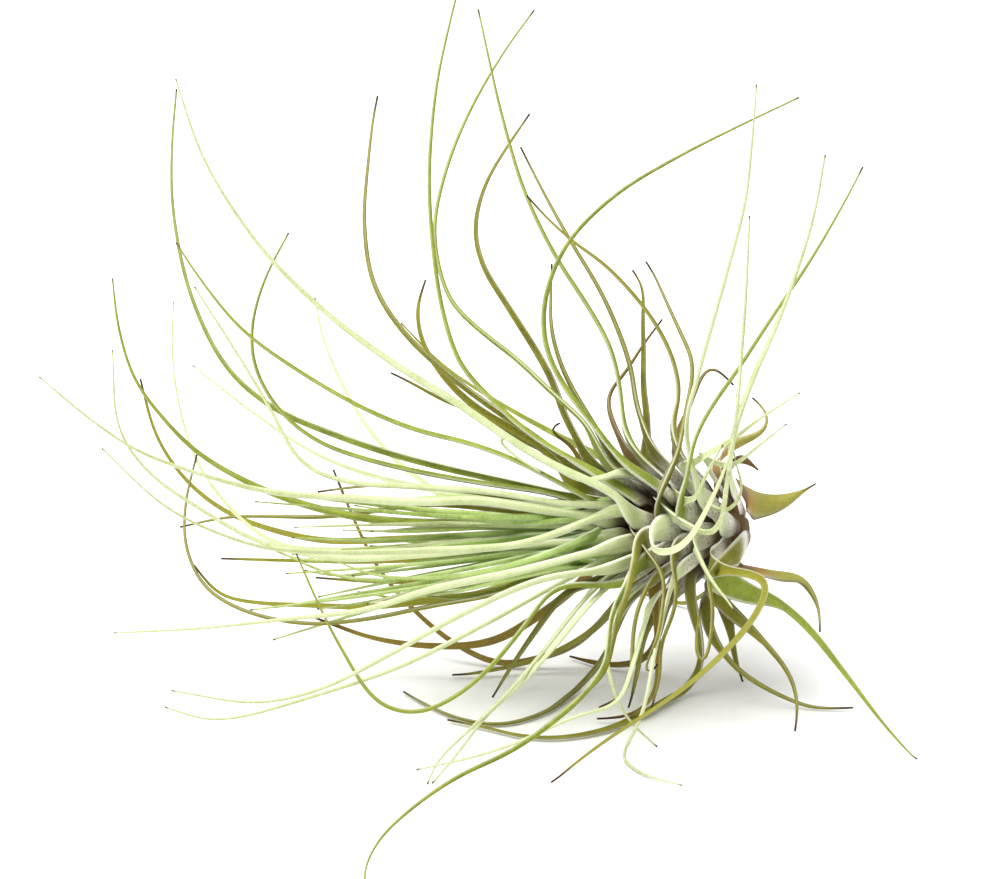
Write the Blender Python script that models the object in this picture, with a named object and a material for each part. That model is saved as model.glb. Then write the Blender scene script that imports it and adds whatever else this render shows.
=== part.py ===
"""Air plant lying on its side, resting on its own leaves.

Lengths in the tables are millimetres; the meshes are built in metres, +Z up.

Every leaf is one closed body: a broad sheath that leaves the stem on the golden-angle
spiral, then a channelled blade that tapers to a thread along a hand-drawn route.
Routes are drawn on a board that leans back from upright by BOARD_LEAN and faces -Y.
Each route point is (across, up, out): across is to the right, up is up the board, and
out is square to the board, toward -Y. The board's zero is the heart of the plant.
"""

import math

import bpy
import numpy as np

BOARD_LEAN = math.radians(22)
HEART_HEIGHT = 30.0
# where the heart stands, from the middle of the plant's footprint
HEART_ACROSS = 31.8
HEART_BACK = 7.0

# the stem, on the board: from its old dry end to the crown
STEM_TAIL = (10.4, -1.6, -4.0)
STEM_CROWN = (-12.8, -0.8, 4.0)
STEM_RADIUS = 4.3
STEM_TIP_RADIUS = 1.1
STEM_TAPER_FROM = 13.0
STEM_GAP = 0.35

SEATS = 100
SEAT_PITCH = 0.235
GOLDEN_ANGLE = 137.508

SHEATH_HALF_ANGLE = math.radians(15.5)
SHEATH_THICK = 0.42
BLADE_THICK = 0.55
TIP_THICK = 0.3
TIP_WIDTH = 0.42
SHEATH_PEAK_AT = 5.0
CLEAR_OF_FLOOR = 0.43
GAP = 0.35

# name, blade width, sheath width factor, colour, route
LEAVES = (
    ("tail_leaf_01", 2.6, 1.5, "dry", ((9.2, 5.6, -3.2), (12.5, 6.2, -8), (16, 5.3, -11), (22, 5.8, -12))),
    ("tail_leaf_02", 2.2, 1.4, "olive", ((9.5, -6.5, 1), (12, -7.6, -0.5), (15, -8.4, -2), (19.5, -8.9, -4), (21.2, -11, -5), (22.5, -14.5, -5), (22.5, -18, -5))),
    ("tail_leaf_03", 1.5, 1, "green", ((7, -9.5, 2), (11, -11.5, 3), (15, -12.5, 4), (20, -16.5, 6), (26, -24, 9), (32, -32, 12), (37.5, -38.3, 14.7))),
    ("tail_leaf_04", 1.6, 1, "olive", ((6.5, -12, 2), (10.5, -16, 2), (14.5, -20.5, 2), (17.5, -24.5, 2.5), (18.8, -29, 3), (18.3, -34, 4.3))),
    ("tail_leaf_05", 1.5, 1, "olive", ((4, -14.5, -4), (5.8, -19, -3.5), (9, -23.5, -4), (14, -27, -4.5), (20, -29.7, -5), (24, -30.6, -4.3), (27.8, -30.2, -4.5))),
    ("tail_leaf_06", 2.4, 1.2, "olive", ((7.5, -11, -8), (8.5, -17, -10), (9, -21.5, -12), (10.3, -26.3, -14.5))),
    ("tail_leaf_07", 2.4, 1, "dry", ((6.5, 7, -7), (8.8, 9.3, -9), (10.5, 9.6, -11), (12.7, 8, -13))),
    ("upper_leaf_01", 1.7, 1.1, "dry", ((4, 9.5, -2), (7, 11.3, -4), (10, 12.2, -6), (13, 13.5, -7), (14.5, 15.5, -8), (14, 17.6, -8), (11.7, 19.6, -8))),
    ("upper_leaf_02", 1.3, 0.9, "dry", ((1.5, 14, -6), (2.8, 21, -8), (3.6, 23.2, -8), (5, 25, -8), (7.5, 22.8, -8), (8.7, 21.6, -8))),
    ("upper_leaf_03", 1.5, 1.1, "olive", ((-3.5, 2, 12), (-2, 6.5, 12), (-0.3, 11, 11.5), (0.8, 17, 10.5), (1.8, 22, 9.5), (2, 25.3, 9), (0, 30, 7), (-2.5, 35.5, 5), (-4.5, 40, 4), (-5.5, 41.3, 4))),
    ("upper_leaf_04", 1.5, 1, "pale", ((-1, 8, 15), (0.8, 15, 18.5), (2.5, 22.5, 22.5), (4.5, 30, 27), (7.5, 41, 33), (9.8, 50.5, 38), (10.8, 60, 42), (11.4, 68.5, 45))),
    ("upper_leaf_05", 1.5, 1, "green", ((-0.5, 3, 13), (1.2, 8, 16), (2, 12.5, 17), (4.5, 17.5, 18), (9, 24, 20), (14.5, 32.5, 22), (20.5, 41.5, 24), (26, 51, 25), (28.6, 56, 25))),
    ("upper_leaf_06", 1.6, 1, "pale", ((6.5, 8, 16), (8.3, 13, 22), (9.5, 17.5, 26), (11.5, 23, 30), (14.5, 30, 34), (17.5, 38, 38), (20.5, 48, 42), (22.2, 57.5, 45))),
    ("upper_leaf_07", 1.7, 1.3, "olive", ((-2, 11.5, 2), (-1, 16, 1), (0, 19.5, 0), (-0.8, 25, 0), (-3, 30, 0), (-6.5, 35, 1), (-12, 40.8, 2), (-17.5, 44.8, 3), (-22, 49, 4), (-24.5, 51.8, 4))),
    ("upper_leaf_08", 1.6, 1, "olive", ((-3, 14.5, -6), (-5, 17, -7), (-5.6, 21, -8), (-5.6, 27, -9), (-5.8, 33, -9), (-5.7, 37.5, -9), (-7.5, 40.1, -9))),
    ("upper_leaf_09", 1.7, 1.3, "green", ((-8.5, 12, 1), (-8.8, 15, 1), (-9.5, 21, 0), (-11, 27.5, 0), (-14.5, 34, -1), (-20, 42.5, -1), (-25, 53, -2), (-28.8, 66, -3), (-30.5, 73.5, -3), (-32.3, 81.8, -3))),
    ("upper_leaf_10", 1.5, 1, "olive", ((-5.2, 13.3, -2), (-6.8, 18.5, -3), (-7.5, 23.5, -4), (-9, 28.5, -4), (-12.5, 36.5, -5), (-17.5, 44.8, -5), (-21.5, 52, -6), (-25.5, 59.8, -6))),
    ("upper_leaf_11", 1.6, 1.3, "green", ((-6.5, 6, 8), (-10, 10.5, 9), (-13.5, 15, 10), (-17.8, 20.5, 11), (-21, 26.5, 12), (-21.8, 32.5, 13), (-20.5, 39, 14), (-17.3, 45, 15), (-10, 52, 17), (0, 58, 20), (10, 63, 22), (18.5, 67, 24))),
    ("upper_leaf_12", 1.6, 1, "olive", ((-13, 14.3, 0), (-16.2, 19.5, -1), (-19, 25, -2), (-20.6, 31, -2), (-20.6, 36, -3), (-20.5, 41, -3))),
    ("upper_leaf_13", 1.3, 1, "green", ((-11, 10, 4), (-15, 15.5, 4), (-18, 18.3, 3), (-21.5, 21.5, 2), (-26, 25.8, 0), (-32, 30.5, -2), (-36.8, 35.5, -4), (-39.3, 46, -7), (-37.8, 55, -9), (-34, 65, -11), (-28, 75.5, -13), (-23.3, 82, -14))),
    ("upper_leaf_14", 1.6, 1, "olive", ((-17.3, 12, -2), (-18.3, 17, -2), (-20, 22, -3), (-22.7, 27, -4), (-27.5, 34.5, -5), (-31.5, 41, -6), (-32.7, 47, -7), (-31, 54, -8), (-27.5, 60, -9), (-24, 65.2, -9))),
    ("upper_leaf_15", 1.4, 1, "green", ((-9, 5.5, 8), (-13, 7.8, 9), (-18, 10.3, 10), (-24, 14, 11), (-30, 19.3, 12), (-35, 25, 13), (-37.5, 32, 14), (-39, 40, 15), (-40, 52, 16), (-39.8, 60, 17), (-38.7, 70, 18), (-36.5, 80, 19), (-35, 86, 20))),
    ("upper_leaf_16", 1.9, 1, "olive", ((-16, 8.7, -3), (-21, 11.3, -3), (-27, 14.8, -4), (-33, 18.5, -5), (-38.5, 24, -5), (-41.3, 29, -6), (-42, 34, -6), (-40.7, 38.5, -6))),
    ("upper_leaf_17", 1.6, 1, "olive", ((-15, 9.5, 2), (-22, 12.8, 2), (-30, 18.2, 1), (-37, 23.5, 0), (-44.4, 30.5, -1), (-49, 38, -2), (-50.5, 48, -3), (-50, 56, -4), (-49, 65, -5), (-48.4, 68, -5))),
    ("upper_leaf_18", 1.5, 1, "olive", ((-16, 8, -5), (-24, 12.5, -6), (-32, 17, -6), (-38, 19.3, -7), (-42.5, 21.8, -7), (-46.3, 23.6, -7))),
    ("fan_leaf_01", 1.4, 1, "green", ((-12, 2.5, 0), (-20, 4.6, -2), (-30, 6.8, -4), (-38, 8.6, -6), (-46, 10.7, -8), (-55, 13.7, -10), (-65, 18, -12), (-72.5, 24.3, -14), (-78.5, 36, -16), (-81.5, 50, -18), (-81.7, 60, -19), (-81, 69.5, -20))),
    ("fan_leaf_02", 1.5, 1.1, "pale", ((-6.5, 2, 12), (-10, 4, 14), (-14, 6.2, 16), (-20, 8.9, 18), (-27, 13, 21), (-35, 18.5, 24), (-45, 24.7, 28), (-55, 32, 31), (-65, 41.5, 34), (-72, 51, 37), (-76, 58.5, 39), (-79.7, 69.5, 41))),
    ("fan_leaf_03", 1.5, 1, "green", ((-12, 3.2, 6), (-20, 6.5, 7), (-27, 10, 8), (-34, 12.5, 8), (-42, 14.5, 8), (-50, 17.7, 8), (-60, 23.3, 7), (-70, 30.5, 6), (-77, 39, 5), (-80.5, 44.3, 5))),
    ("fan_leaf_04", 1.9, 1, "green", ((-12, 1.5, 4), (-20, 4.2, 3), (-30, 5.8, 3), (-40, 7.5, 2), (-50, 9.8, 1), (-58, 12.7, 0), (-64, 17.5, -1), (-68, 24.5, -2), (-68.5, 31, -3), (-66.5, 38.5, -4), (-62.7, 46, -5))),
    ("fan_leaf_05", 1.4, 1, "green", ((-11, -1, 5), (-20, -0.9, 6), (-28, 0, 7), (-36, -0.4, 8), (-45, -0.2, 9), (-54, 1, 10), (-65, 4.3, 11), (-76.5, 10.5, 12), (-83, 17, 13), (-87, 22.7, 13), (-89.5, 31, 14), (-90.4, 38.5, 14))),
    ("fan_leaf_06", 1.4, 1, "olive", ((-11, -1.5, 2), (-22, -2, -2), (-34, -2.7, -6), (-46, -3.3, -10), (-57, -3.5, -13), (-66, -1.6, -15), (-73, 1.2, -17), (-79.5, 6.3, -19), (-84.3, 13.5, -20), (-86.9, 22.7, -21))),
    ("fan_leaf_07", 1.4, 1, "pale", ((-11, -2.5, 8), (-25, -4, 14), (-40, -5.5, 20), (-55, -6, 25), (-67, -3.3, 28), (-76, 1.8, 31), (-84, 7.5, 33), (-88.8, 14.5, 35), (-89.8, 27, 36))),
    ("fan_leaf_08", 1.5, 1, "pale", ((-11, 0.5, 8), (-22, 1.8, 14), (-32, 3.3, 19), (-42, 3.1, 24), (-54, 3.8, 28), (-65, 4.7, 32), (-77, 7.8, 36), (-86, 11.3, 39), (-93, 16, 42), (-101, 22.7, 45))),
    ("fan_leaf_09", 1.5, 1, "olive", ((-12, -6, 4), (-20, -9, 6), (-30, -12, 8), (-40, -13.8, 9), (-50, -15.8, 9), (-60, -16.5, 9), (-70, -14.3, 8), (-76, -10.5, 7), (-79, -4, 6), (-79, 3, 5), (-77.2, 10.5, 4))),
    ("fan_leaf_10", 1.6, 1, "olive", ((-12, -5.5, 0), (-20, -8.5, -2), (-30, -11.8, -4), (-40, -13.1, -6), (-50, -14.1, -7), (-60, -13.8, -8), (-68, -13.4, -9), (-74, -12, -9), (-78, -7.3, -10))),
    ("fan_leaf_11", 1.4, 1, "olive", ((-11, 0, 2), (-20, 0.9, 0), (-30, 2, -2), (-41, 2.7, -4), (-50, 1.4, -6), (-58, 0.5, -8), (-66, 0.6, -10), (-73, 0.4, -12), (-80.3, -1.2, -14))),
    ("fan_leaf_12", 1.8, 1, "dry", ((-12, -7, -6), (-17, -11.5, -9), (-23, -16, -11), (-30, -19.8, -13), (-40, -20.5, -14), (-50, -19, -14), (-55, -17.2, -14), (-59.3, -15.6, -14))),
    ("fan_leaf_13", 1.3, 1, "dry", ((-8, -14, -14), (-16, -20, -18), (-23, -22.7, -20), (-29, -23.4, -21), (-36, -20.3, -22), (-42.5, -15, -23), (-48.5, -8, -24), (-52.5, 0, -25), (-55.8, 8, -26))),
    ("fan_leaf_14", 1.8, 1, "olive", ((-9, -15, -12), (-15, -19, -17), (-22, -22.5, -18), (-28, -24, -17.5), (-36.5, -25.5, -17))),
    ("fan_leaf_15", 1.4, 1, "pale", ((-11, 1, -1), (-25, 1.5, -12), (-36, 3, -20), (-43, 7.5, -26), (-47, 11, -30), (-52, 17.5, -35), (-57.5, 29, -42), (-59, 36, -46))),
    ("fan_leaf_16", 1.5, 1, "pale", ((-11, -5, 10), (-25, -8, 22), (-40, -11, 34), (-50, -14, 40), (-62, -15.3, 46), (-76, -16.7, 52), (-89, -17.3, 56))),
    ("fan_leaf_17", 1.5, 1, "pale", ((-12, -7, 12), (-22, -9.5, 20), (-34, -14.5, 30), (-47, -21.5, 38), (-57, -26.3, 44), (-67, -28.3, 50), (-80, -26.3, 56))),
    ("fan_leaf_18", 1.4, 1, "pale", ((-12, -7.5, 8), (-20, -10.5, 12), (-32, -17, 18), (-45, -23.3, 24), (-60, -28.2, 30), (-70, -30.9, 34), (-75, -31.2, 36), (-81.5, -29.2, 38))),
    ("fan_leaf_19", 1.4, 1, "green", ((-12, -8, 10), (-20, -11, 14), (-25, -17, 17), (-30.5, -23.5, 20), (-36, -28, 22), (-42, -30.4, 24), (-48, -28.8, 26), (-54, -20, 28), (-58, -12, 30), (-61, -5, 31))),
    ("lower_leaf_01", 2.1, 1.2, "olive", ((-12, -9, -2), (-17.5, -11.5, -3), (-23, -18, -4), (-27.5, -24.5, -5), (-30, -28.5, -6))),
    ("lower_leaf_02", 1.4, 1, "pale", ((-11, -8, 8), (-16, -13.5, 12), (-22, -21, 15), (-28, -27.8, 18), (-34, -33.5, 20), (-39, -38.5, 22), (-40.3, -42, 24))),
    ("lower_leaf_03", 1.5, 1.1, "green", ((-9, -8, 14), (-11, -15, 20), (-12, -22.5, 25), (-15, -27, 28), (-20, -31.5, 31), (-27, -36.3, 34), (-35, -40, 38), (-42, -44.5, 45), (-47.5, -49.5, 52), (-49.8, -54, 58), (-49.7, -57.5, 63))),
    ("lower_leaf_04", 1.5, 1, "olive", ((-8, -14, -5), (-12.5, -23, -9), (-16, -27, -11), (-21.3, -31, -3), (-29, -33.1, 2), (-35, -32.3, 0), (-41, -29.7, -6), (-44.3, -27.8, -10.5))),
    ("lower_leaf_05", 1.5, 0.7, "olive", ((3, -12, 0), (3.4, -18, -2), (3.4, -24, -7), (1, -27.6, -10), (-5, -31, -3), (-12, -34, 4), (-20, -35.2, 7), (-26, -34.7, 6), (-31, -33.3, 3), (-37.2, -32, 0))),
    ("lower_leaf_06", 1.4, 1, "olive", ((6.5, -8, 12.5), (11, -8.5, 17), (13.8, -9.5, 18), (12.5, -14, 20), (9, -18.7, 21), (3, -24.5, 22), (-3, -29, 22.5), (-9, -32.8, 23), (-15, -37, 23), (-20.7, -41.6, 23.5))),
    ("lower_leaf_07", 2.0, 1, "dry", ((-3, -16, -14), (-5, -22.5, -18), (-10, -23.7, -20), (-12.5, -23.5, -20.5), (-17.5, -22.2, -24))),
    ("lower_leaf_08", 2.2, 1.2, "olive", ((-5.3, -15, -4), (-5.7, -19, -5), (-6.3, -23, -5), (-7.3, -27, -5), (-8.2, -30.5, -4.5))),
    ("lower_leaf_09", 1.4, 1, "pale", ((-3, -12, 14), (-4, -20, 18), (-6, -30, 19), (-8.5, -35.5, 16), (-9.5, -37.8, 14), (-6, -40.3, 20.5), (0, -42, 24.5))),
    ("front_leaf_01", 1.3, 1.1, "pale", ((-4, -2, 13), (-4.8, -3.5, 17), (-4, -4.8, 20), (-2.5, -5, 22), (-0.5, -4.5, 23.5), (1, -3.2, 24.5), (2.2, -1.5, 25), (3.5, 1, 25.5), (5, 4, 26), (6.5, 7.5, 27), (7.5, 10.5, 28), (8.3, 14, 29), (8.5, 20, 30))),
    ("front_leaf_02", 1.9, 1.3, "olive", ((-7, -6, 12), (-7.8, -9, 15), (-8.5, -12, 17), (-9.5, -14.5, 19), (-11, -20, 21), (-12, -24, 22), (-15, -27, 22), (-18, -29.5, 22), (-22.3, -33.5, 22))),
    ("front_leaf_03", 1.5, 1.2, "olive", ((-4, -8, 10), (-5.5, -11, 12), (-6.8, -14, 13), (-7.6, -18, 14), (-7.8, -23, 14), (-8.3, -26.5, 13), (-9.3, -28, 12), (-13, -29.8, 10))),
    ("far_leaf_01", 1.5, 1, "green", ((-4, 4, -14), (-7, 7, -24), (-12, 10, -34), (-20, 14, -43), (-29, 19, -50), (-38, 25, -55), (-45, 32, -58))),
    ("far_leaf_02", 1.5, 1, "olive", ((3, 0, -14), (7, -2, -23), (8, -7, -31), (5, -12, -39), (-1, -14.5, -46), (-8, -13, -50))),
    ("far_leaf_03", 1.5, 1, "green", ((-8, -5, -10), (-15, -7, -20), (-23, -9, -29), (-32, -12, -37), (-42, -13.5, -43), (-52, -12, -48))),
)

COLOURS = {
    "green": (0.235, 0.355, 0.105),
    "olive": (0.245, 0.27, 0.085),
    "pale": (0.55, 0.6, 0.36),
    "dry": (0.235, 0.115, 0.04),
    "stem": (0.2, 0.125, 0.06),
}


def on_board(across, up, out):
    """Millimetres on the leaning board to millimetres in the room."""
    lean, rise = math.sin(BOARD_LEAN), math.cos(BOARD_LEAN)
    return np.array([
        across + HEART_ACROSS,
        up * lean - out * rise + HEART_BACK,
        up * rise + out * lean + HEART_HEIGHT,
    ])


OUTWARD = on_board(0, 0, 1) - on_board(0, 0, 0)
TAIL = on_board(*STEM_TAIL)
CROWN = on_board(*STEM_CROWN)
STEM_LENGTH = float(np.linalg.norm(CROWN - TAIL))
ALONG = (CROWN - TAIL) / STEM_LENGTH
OVER = np.array([0.0, 0.0, 1.0]) - ALONG * ALONG[2]
OVER /= np.linalg.norm(OVER)
BESIDE = np.cross(ALONG, OVER)


def smooth(low, high, x):
    t = np.clip((np.asarray(x, float) - low) / (high - low), 0, 1)
    return t * t * (3 - 2 * t)


def stem_radius(station):
    """The stem narrows over its last part, toward the crown."""
    t = smooth(STEM_TAPER_FROM, STEM_LENGTH, station)
    return STEM_RADIUS + (STEM_TIP_RADIUS - STEM_RADIUS) * t


def opening(station):
    """How steeply a sheath opens: old leaves stand off the stem, young ones hug it."""
    return float(np.interp(station, (0, 3, 6, 12, 18, 24), (2.2, 1.35, 0.95, 0.7, 0.45, 0.2)))


def seat_line(seat):
    """Where a seat's sheath starts on the stem, and the direction in which it leaves."""
    station = 0.4 + seat * SEAT_PITCH
    angle = math.radians(seat * GOLDEN_ANGLE)
    away = OVER * math.cos(angle) + BESIDE * math.sin(angle)
    slope = opening(station)
    heading = (ALONG + away * slope) / math.hypot(1, slope)
    start = TAIL + ALONG * station + away * (float(stem_radius(station)) + STEM_GAP + 0.3)
    return start, heading, away


def nearest_on(line, point):
    """Distance along a seat's line to the place nearest a point, and how far off the point is."""
    start, heading, _ = line
    along = float(np.clip((point - start) @ heading, 0.5, 16))
    return along, float(np.linalg.norm(start + heading * along - point))


def choose_seats(routes, taken=()):
    """Each leaf takes the free seat whose line passes nearest to where its blade leaves the body."""
    lines = [seat_line(n) for n in range(SEATS)]
    cost = np.array([[nearest_on(line, on_board(*route[0]))[1] ** 2 for line in lines] for route in routes])
    free = [n for n in range(SEATS) if n not in set(taken)]
    chosen = []
    for row in cost:
        best = min(free, key=lambda n: row[n])
        free.remove(best)
        chosen.append(best)
    for _ in range(40):
        changed = False
        for i in range(len(chosen)):
            for f, seat in enumerate(free):
                if cost[i][seat] < cost[i][chosen[i]] - 1e-9:
                    free[f], chosen[i] = chosen[i], seat
                    changed = True
                    break
            for j in range(i):
                a, b = chosen[i], chosen[j]
                if cost[i][b] + cost[j][a] < cost[i][a] + cost[j][b] - 1e-9:
                    chosen[i], chosen[j] = b, a
                    changed = True
        if not changed:
            break
    return chosen


def curve_through(points, step=1.0):
    """A centripetal curve through the points, cut into even steps and lightly eased."""
    p = np.array(points, float)
    p = np.vstack([2 * p[0] - p[1], p, 2 * p[-1] - p[-2]])
    out = []
    for i in range(1, len(p) - 2):
        a, b, c, d = p[i - 1:i + 3]
        t0 = 0.0
        t1 = t0 + np.linalg.norm(b - a) ** 0.5
        t2 = t1 + np.linalg.norm(c - b) ** 0.5
        t3 = t2 + np.linalg.norm(d - c) ** 0.5
        for t in np.linspace(t1, t2, 24, endpoint=False):
            ab = a * (t1 - t) / (t1 - t0) + b * (t - t0) / (t1 - t0)
            bc = b * (t2 - t) / (t2 - t1) + c * (t - t1) / (t2 - t1)
            cd = c * (t3 - t) / (t3 - t2) + d * (t - t2) / (t3 - t2)
            abc = ab * (t2 - t) / (t2 - t0) + bc * (t - t0) / (t2 - t0)
            bcd = bc * (t3 - t) / (t3 - t1) + cd * (t - t1) / (t3 - t1)
            out.append(abc * (t2 - t) / (t2 - t1) + bcd * (t - t1) / (t2 - t1))
    out.append(p[-2])
    return even_steps(np.array(out), step)


def even_steps(line, step):
    """The same line, with points the same distance apart."""
    length = np.concatenate([[0], np.cumsum(np.linalg.norm(np.diff(line, axis=0), axis=1))])
    count = max(6, int(round(length[-1] / step)) + 1)
    where = np.linspace(0, length[-1], count)
    return np.stack([np.interp(where, length, line[:, k]) for k in range(3)], axis=1)


def eased(line, times=4):
    """Takes the corners off a line, leaving its ends alone."""
    line = line.copy()
    for _ in range(times):
        line[1:-1] = line[1:-1] * 0.5 + (line[:-2] + line[2:]) * 0.25
    return line


def leaf_line(route, seat):
    """The middle of a leaf from its seat on the stem to its tip, and how much of it is sheath."""
    line = seat_line(seat)
    start, heading, _ = line
    reach, _ = nearest_on(line, on_board(*route[0]))
    reach = min(max(reach - 1.5, 3.0), 10.0)
    points = [start + heading * a for a in np.arange(0, reach + 0.01, reach / 3)]
    rest = [on_board(*p) for p in route[1:]]
    while len(rest) > 2 and np.linalg.norm(rest[0] - points[-1]) < 4:
        rest.pop(0)
    return eased(curve_through(points + rest)), reach


def widths(line, reach, blade, factor):
    """Half-width at each point of a leaf: a broad sheath, then a long taper."""
    t = np.concatenate([[0], np.cumsum(np.linalg.norm(np.diff(line, axis=0), axis=1))])
    total = t[-1]
    rel = line - TAIL
    station = rel @ ALONG
    radius = np.linalg.norm(rel - station[:, None] * ALONG, axis=1)
    sheath = radius * math.sin(SHEATH_HALF_ANGLE)
    ends = min(max(reach + 7, 12), 0.55 * total)
    fade = 1 - smooth(min(SHEATH_PEAK_AT, 0.3 * ends), ends, t)
    body = blade / 2 * (1 - smooth(0.3 * total, total, t) * 0.35) * (1 - (t / total) ** 3 * 0.35)
    half = body + np.maximum(np.minimum(sheath, 3.6) * min(factor, 1.0) - body, 0) * fade
    close = smooth(0, min(5.0, 0.2 * total), total - t)
    return t, TIP_WIDTH / 2 + (half - TIP_WIDTH / 2) * close, radius, fade


def settle(lines, reaches, halves, held=0, rounds=70):
    """Moves blades square to the board until they clear one another. The first `held` stay where they are."""
    owner = np.concatenate([np.full(len(line), i) for i, line in enumerate(lines)])
    points = np.vstack(lines)
    half = np.concatenate(halves)
    free = np.concatenate([
        (smooth(r - 1, r + 7, np.arange(len(line)) * 1.0)) * (i >= held)
        for i, (line, r) in enumerate(zip(lines, reaches))
    ])
    in_sheath = free < 0.5
    starts = np.concatenate([[0], np.cumsum([len(line) for line in lines])])
    flat = points - np.outer(points @ OUTWARD, OUTWARD)
    reach = np.where(in_sheath, 0.35, half + 0.1)
    pairs = []
    block = 400
    for a in range(0, len(points), block):
        gap = np.linalg.norm(flat[a:a + block, None] - flat[None], axis=2)
        need = reach[a:a + block, None] + reach[None] + GAP
        i, j = np.nonzero((gap < need) & (owner[a:a + block, None] < owner[None]))
        i = i + a
        keep = (free[i] + free[j]) > 0
        pairs.append(np.stack([i[keep], j[keep]], axis=1))
    pairs = np.vstack(pairs)
    gap = np.linalg.norm(flat[pairs[:, 0]] - flat[pairs[:, 1]], axis=1)
    need = reach[pairs[:, 0]] + reach[pairs[:, 1]] + GAP
    apart = np.sqrt(np.maximum(need ** 2 - gap ** 2, 0))
    depth = points @ OUTWARD
    kernel = np.exp(-0.5 * (np.arange(-9, 10) / 4.0) ** 2)
    kernel /= kernel.sum()
    for _ in range(rounds):
        i, j = pairs[:, 0], pairs[:, 1]
        delta = depth[j] - depth[i]
        side = np.where(delta == 0, 1.0, np.sign(delta))
        short = apart - np.abs(delta)
        hit = short > 0
        if not hit.any():
            break
        share = free[i[hit]] / (free[i[hit]] + free[j[hit]])
        push = np.zeros(len(points))
        weight = np.zeros(len(points))
        for index, part in ((i[hit], -share), (j[hit], 1 - share)):
            np.add.at(push, index, side[hit] * part * short[hit])
            np.add.at(weight, index, 1.0)
        push = np.where(weight > 0, push / np.maximum(weight, 1), 0)
        for k in range(len(lines)):
            a, b = starts[k], starts[k + 1]
            spread = np.convolve(np.pad(push[a:b], 9, mode="edge"), kernel, mode="valid")
            peak = np.abs(push[a:b]).max()
            top = np.abs(spread).max()
            if top > 0:
                depth[a:b] += spread * min(peak / top, 2.5) * free[a:b] * 0.6
    moved = flat + np.outer(depth, OUTWARD)
    moved[:, 2] = np.maximum(moved[:, 2], CLEAR_OF_FLOOR)
    return [moved[starts[k]:starts[k + 1]] for k in range(len(lines))], int(hit.sum())


def frames_along(line, away):
    """Side and outer directions for every point of a leaf, carried along without twisting."""
    tangent = np.gradient(line, axis=0)
    tangent /= np.linalg.norm(tangent, axis=1)[:, None]
    outer = away - tangent[0] * (away @ tangent[0])
    outers = []
    for t in tangent:
        outer = outer - t * (outer @ t)
        outer /= np.linalg.norm(outer)
        outers.append(outer)
    outers = np.array(outers)
    return np.cross(tangent, outers), outers, tangent


def ring_places(line, most_turn=13.0, most_step=9.0, sheath=12.0):
    """Where to put rings: closer where the leaf is sheath or bends, farther apart where it runs straight."""
    tangent = np.gradient(line, axis=0)
    tangent /= np.linalg.norm(tangent, axis=1)[:, None]
    places, turned, gone = [0], 0.0, 0.0
    for i in range(1, len(line)):
        gone += np.linalg.norm(line[i] - line[i - 1])
        turned += math.degrees(math.acos(min(1, tangent[i] @ tangent[i - 1])))
        step = 2.4 if i < sheath else most_step
        if turned >= most_turn or gone >= step or i == len(line) - 1:
            places.append(i)
            turned, gone = 0.0, 0.0
    if len(places) > 2 and places[-1] - places[-2] < 2:
        places.pop(-2)
    return places


def leaf_mesh(name, line, away, t, half, radius, fade):
    """A closed leaf: a crescent section carried along the line, flat-ended."""
    side, outer, _ = frames_along(line, away)
    total = t[-1]
    rings = []
    for i in ring_places(line):
        h = half[i]
        round_stem = radius[i] - math.sqrt(max(radius[i] ** 2 - h * h, 0.01))
        bend = h * 0.55 + (min(round_stem, h * 0.55) - h * 0.55) * fade[i]
        thick = BLADE_THICK + (SHEATH_THICK - BLADE_THICK) * fade[i]
        thick += (TIP_THICK - thick) * float(smooth(0.7 * total, total, t[i]))
        edge = 0.3 * thick
        ring = []
        for across, share, rise in (
            (-1, 1, edge / 2), (-0.5, 0.25, thick / 2), (0.5, 0.25, thick / 2),
            (1, 1, edge / 2), (0.5, 0.25, -thick / 2), (-0.5, 0.25, -thick / 2),
        ):
            ring.append(line[i] + side[i] * (across * h) + outer[i] * (rise - bend * share))
        rings.append(ring)
    count = len(rings[0])
    points = [tuple(p / 1000) for ring in rings for p in ring]
    faces = []
    for r in range(len(rings) - 1):
        for k in range(count):
            a, b = r * count + k, r * count + (k + 1) % count
            faces.append((a, b, b + count, a + count))
    last = (len(rings) - 1) * count
    faces.append(tuple(range(count))[::-1])
    faces.append(tuple(range(last, last + count)))
    return closed_object(name, points, faces)


def closed_object(name, points, faces):
    """A mesh object with its faces turned outward."""
    p = np.array(points)
    volume = sum(
        float(p[f[0]] @ np.cross(p[f[k]], p[f[k + 1]]))
        for f in faces for k in range(1, len(f) - 1)
    )
    if volume < 0:
        faces = [f[::-1] for f in faces]
    mesh = bpy.data.meshes.new(name)
    mesh.from_pydata(points, [], faces)
    mesh.validate()
    made = bpy.data.objects.new(name, mesh)
    bpy.context.scene.collection.objects.link(made)
    return made


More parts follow.
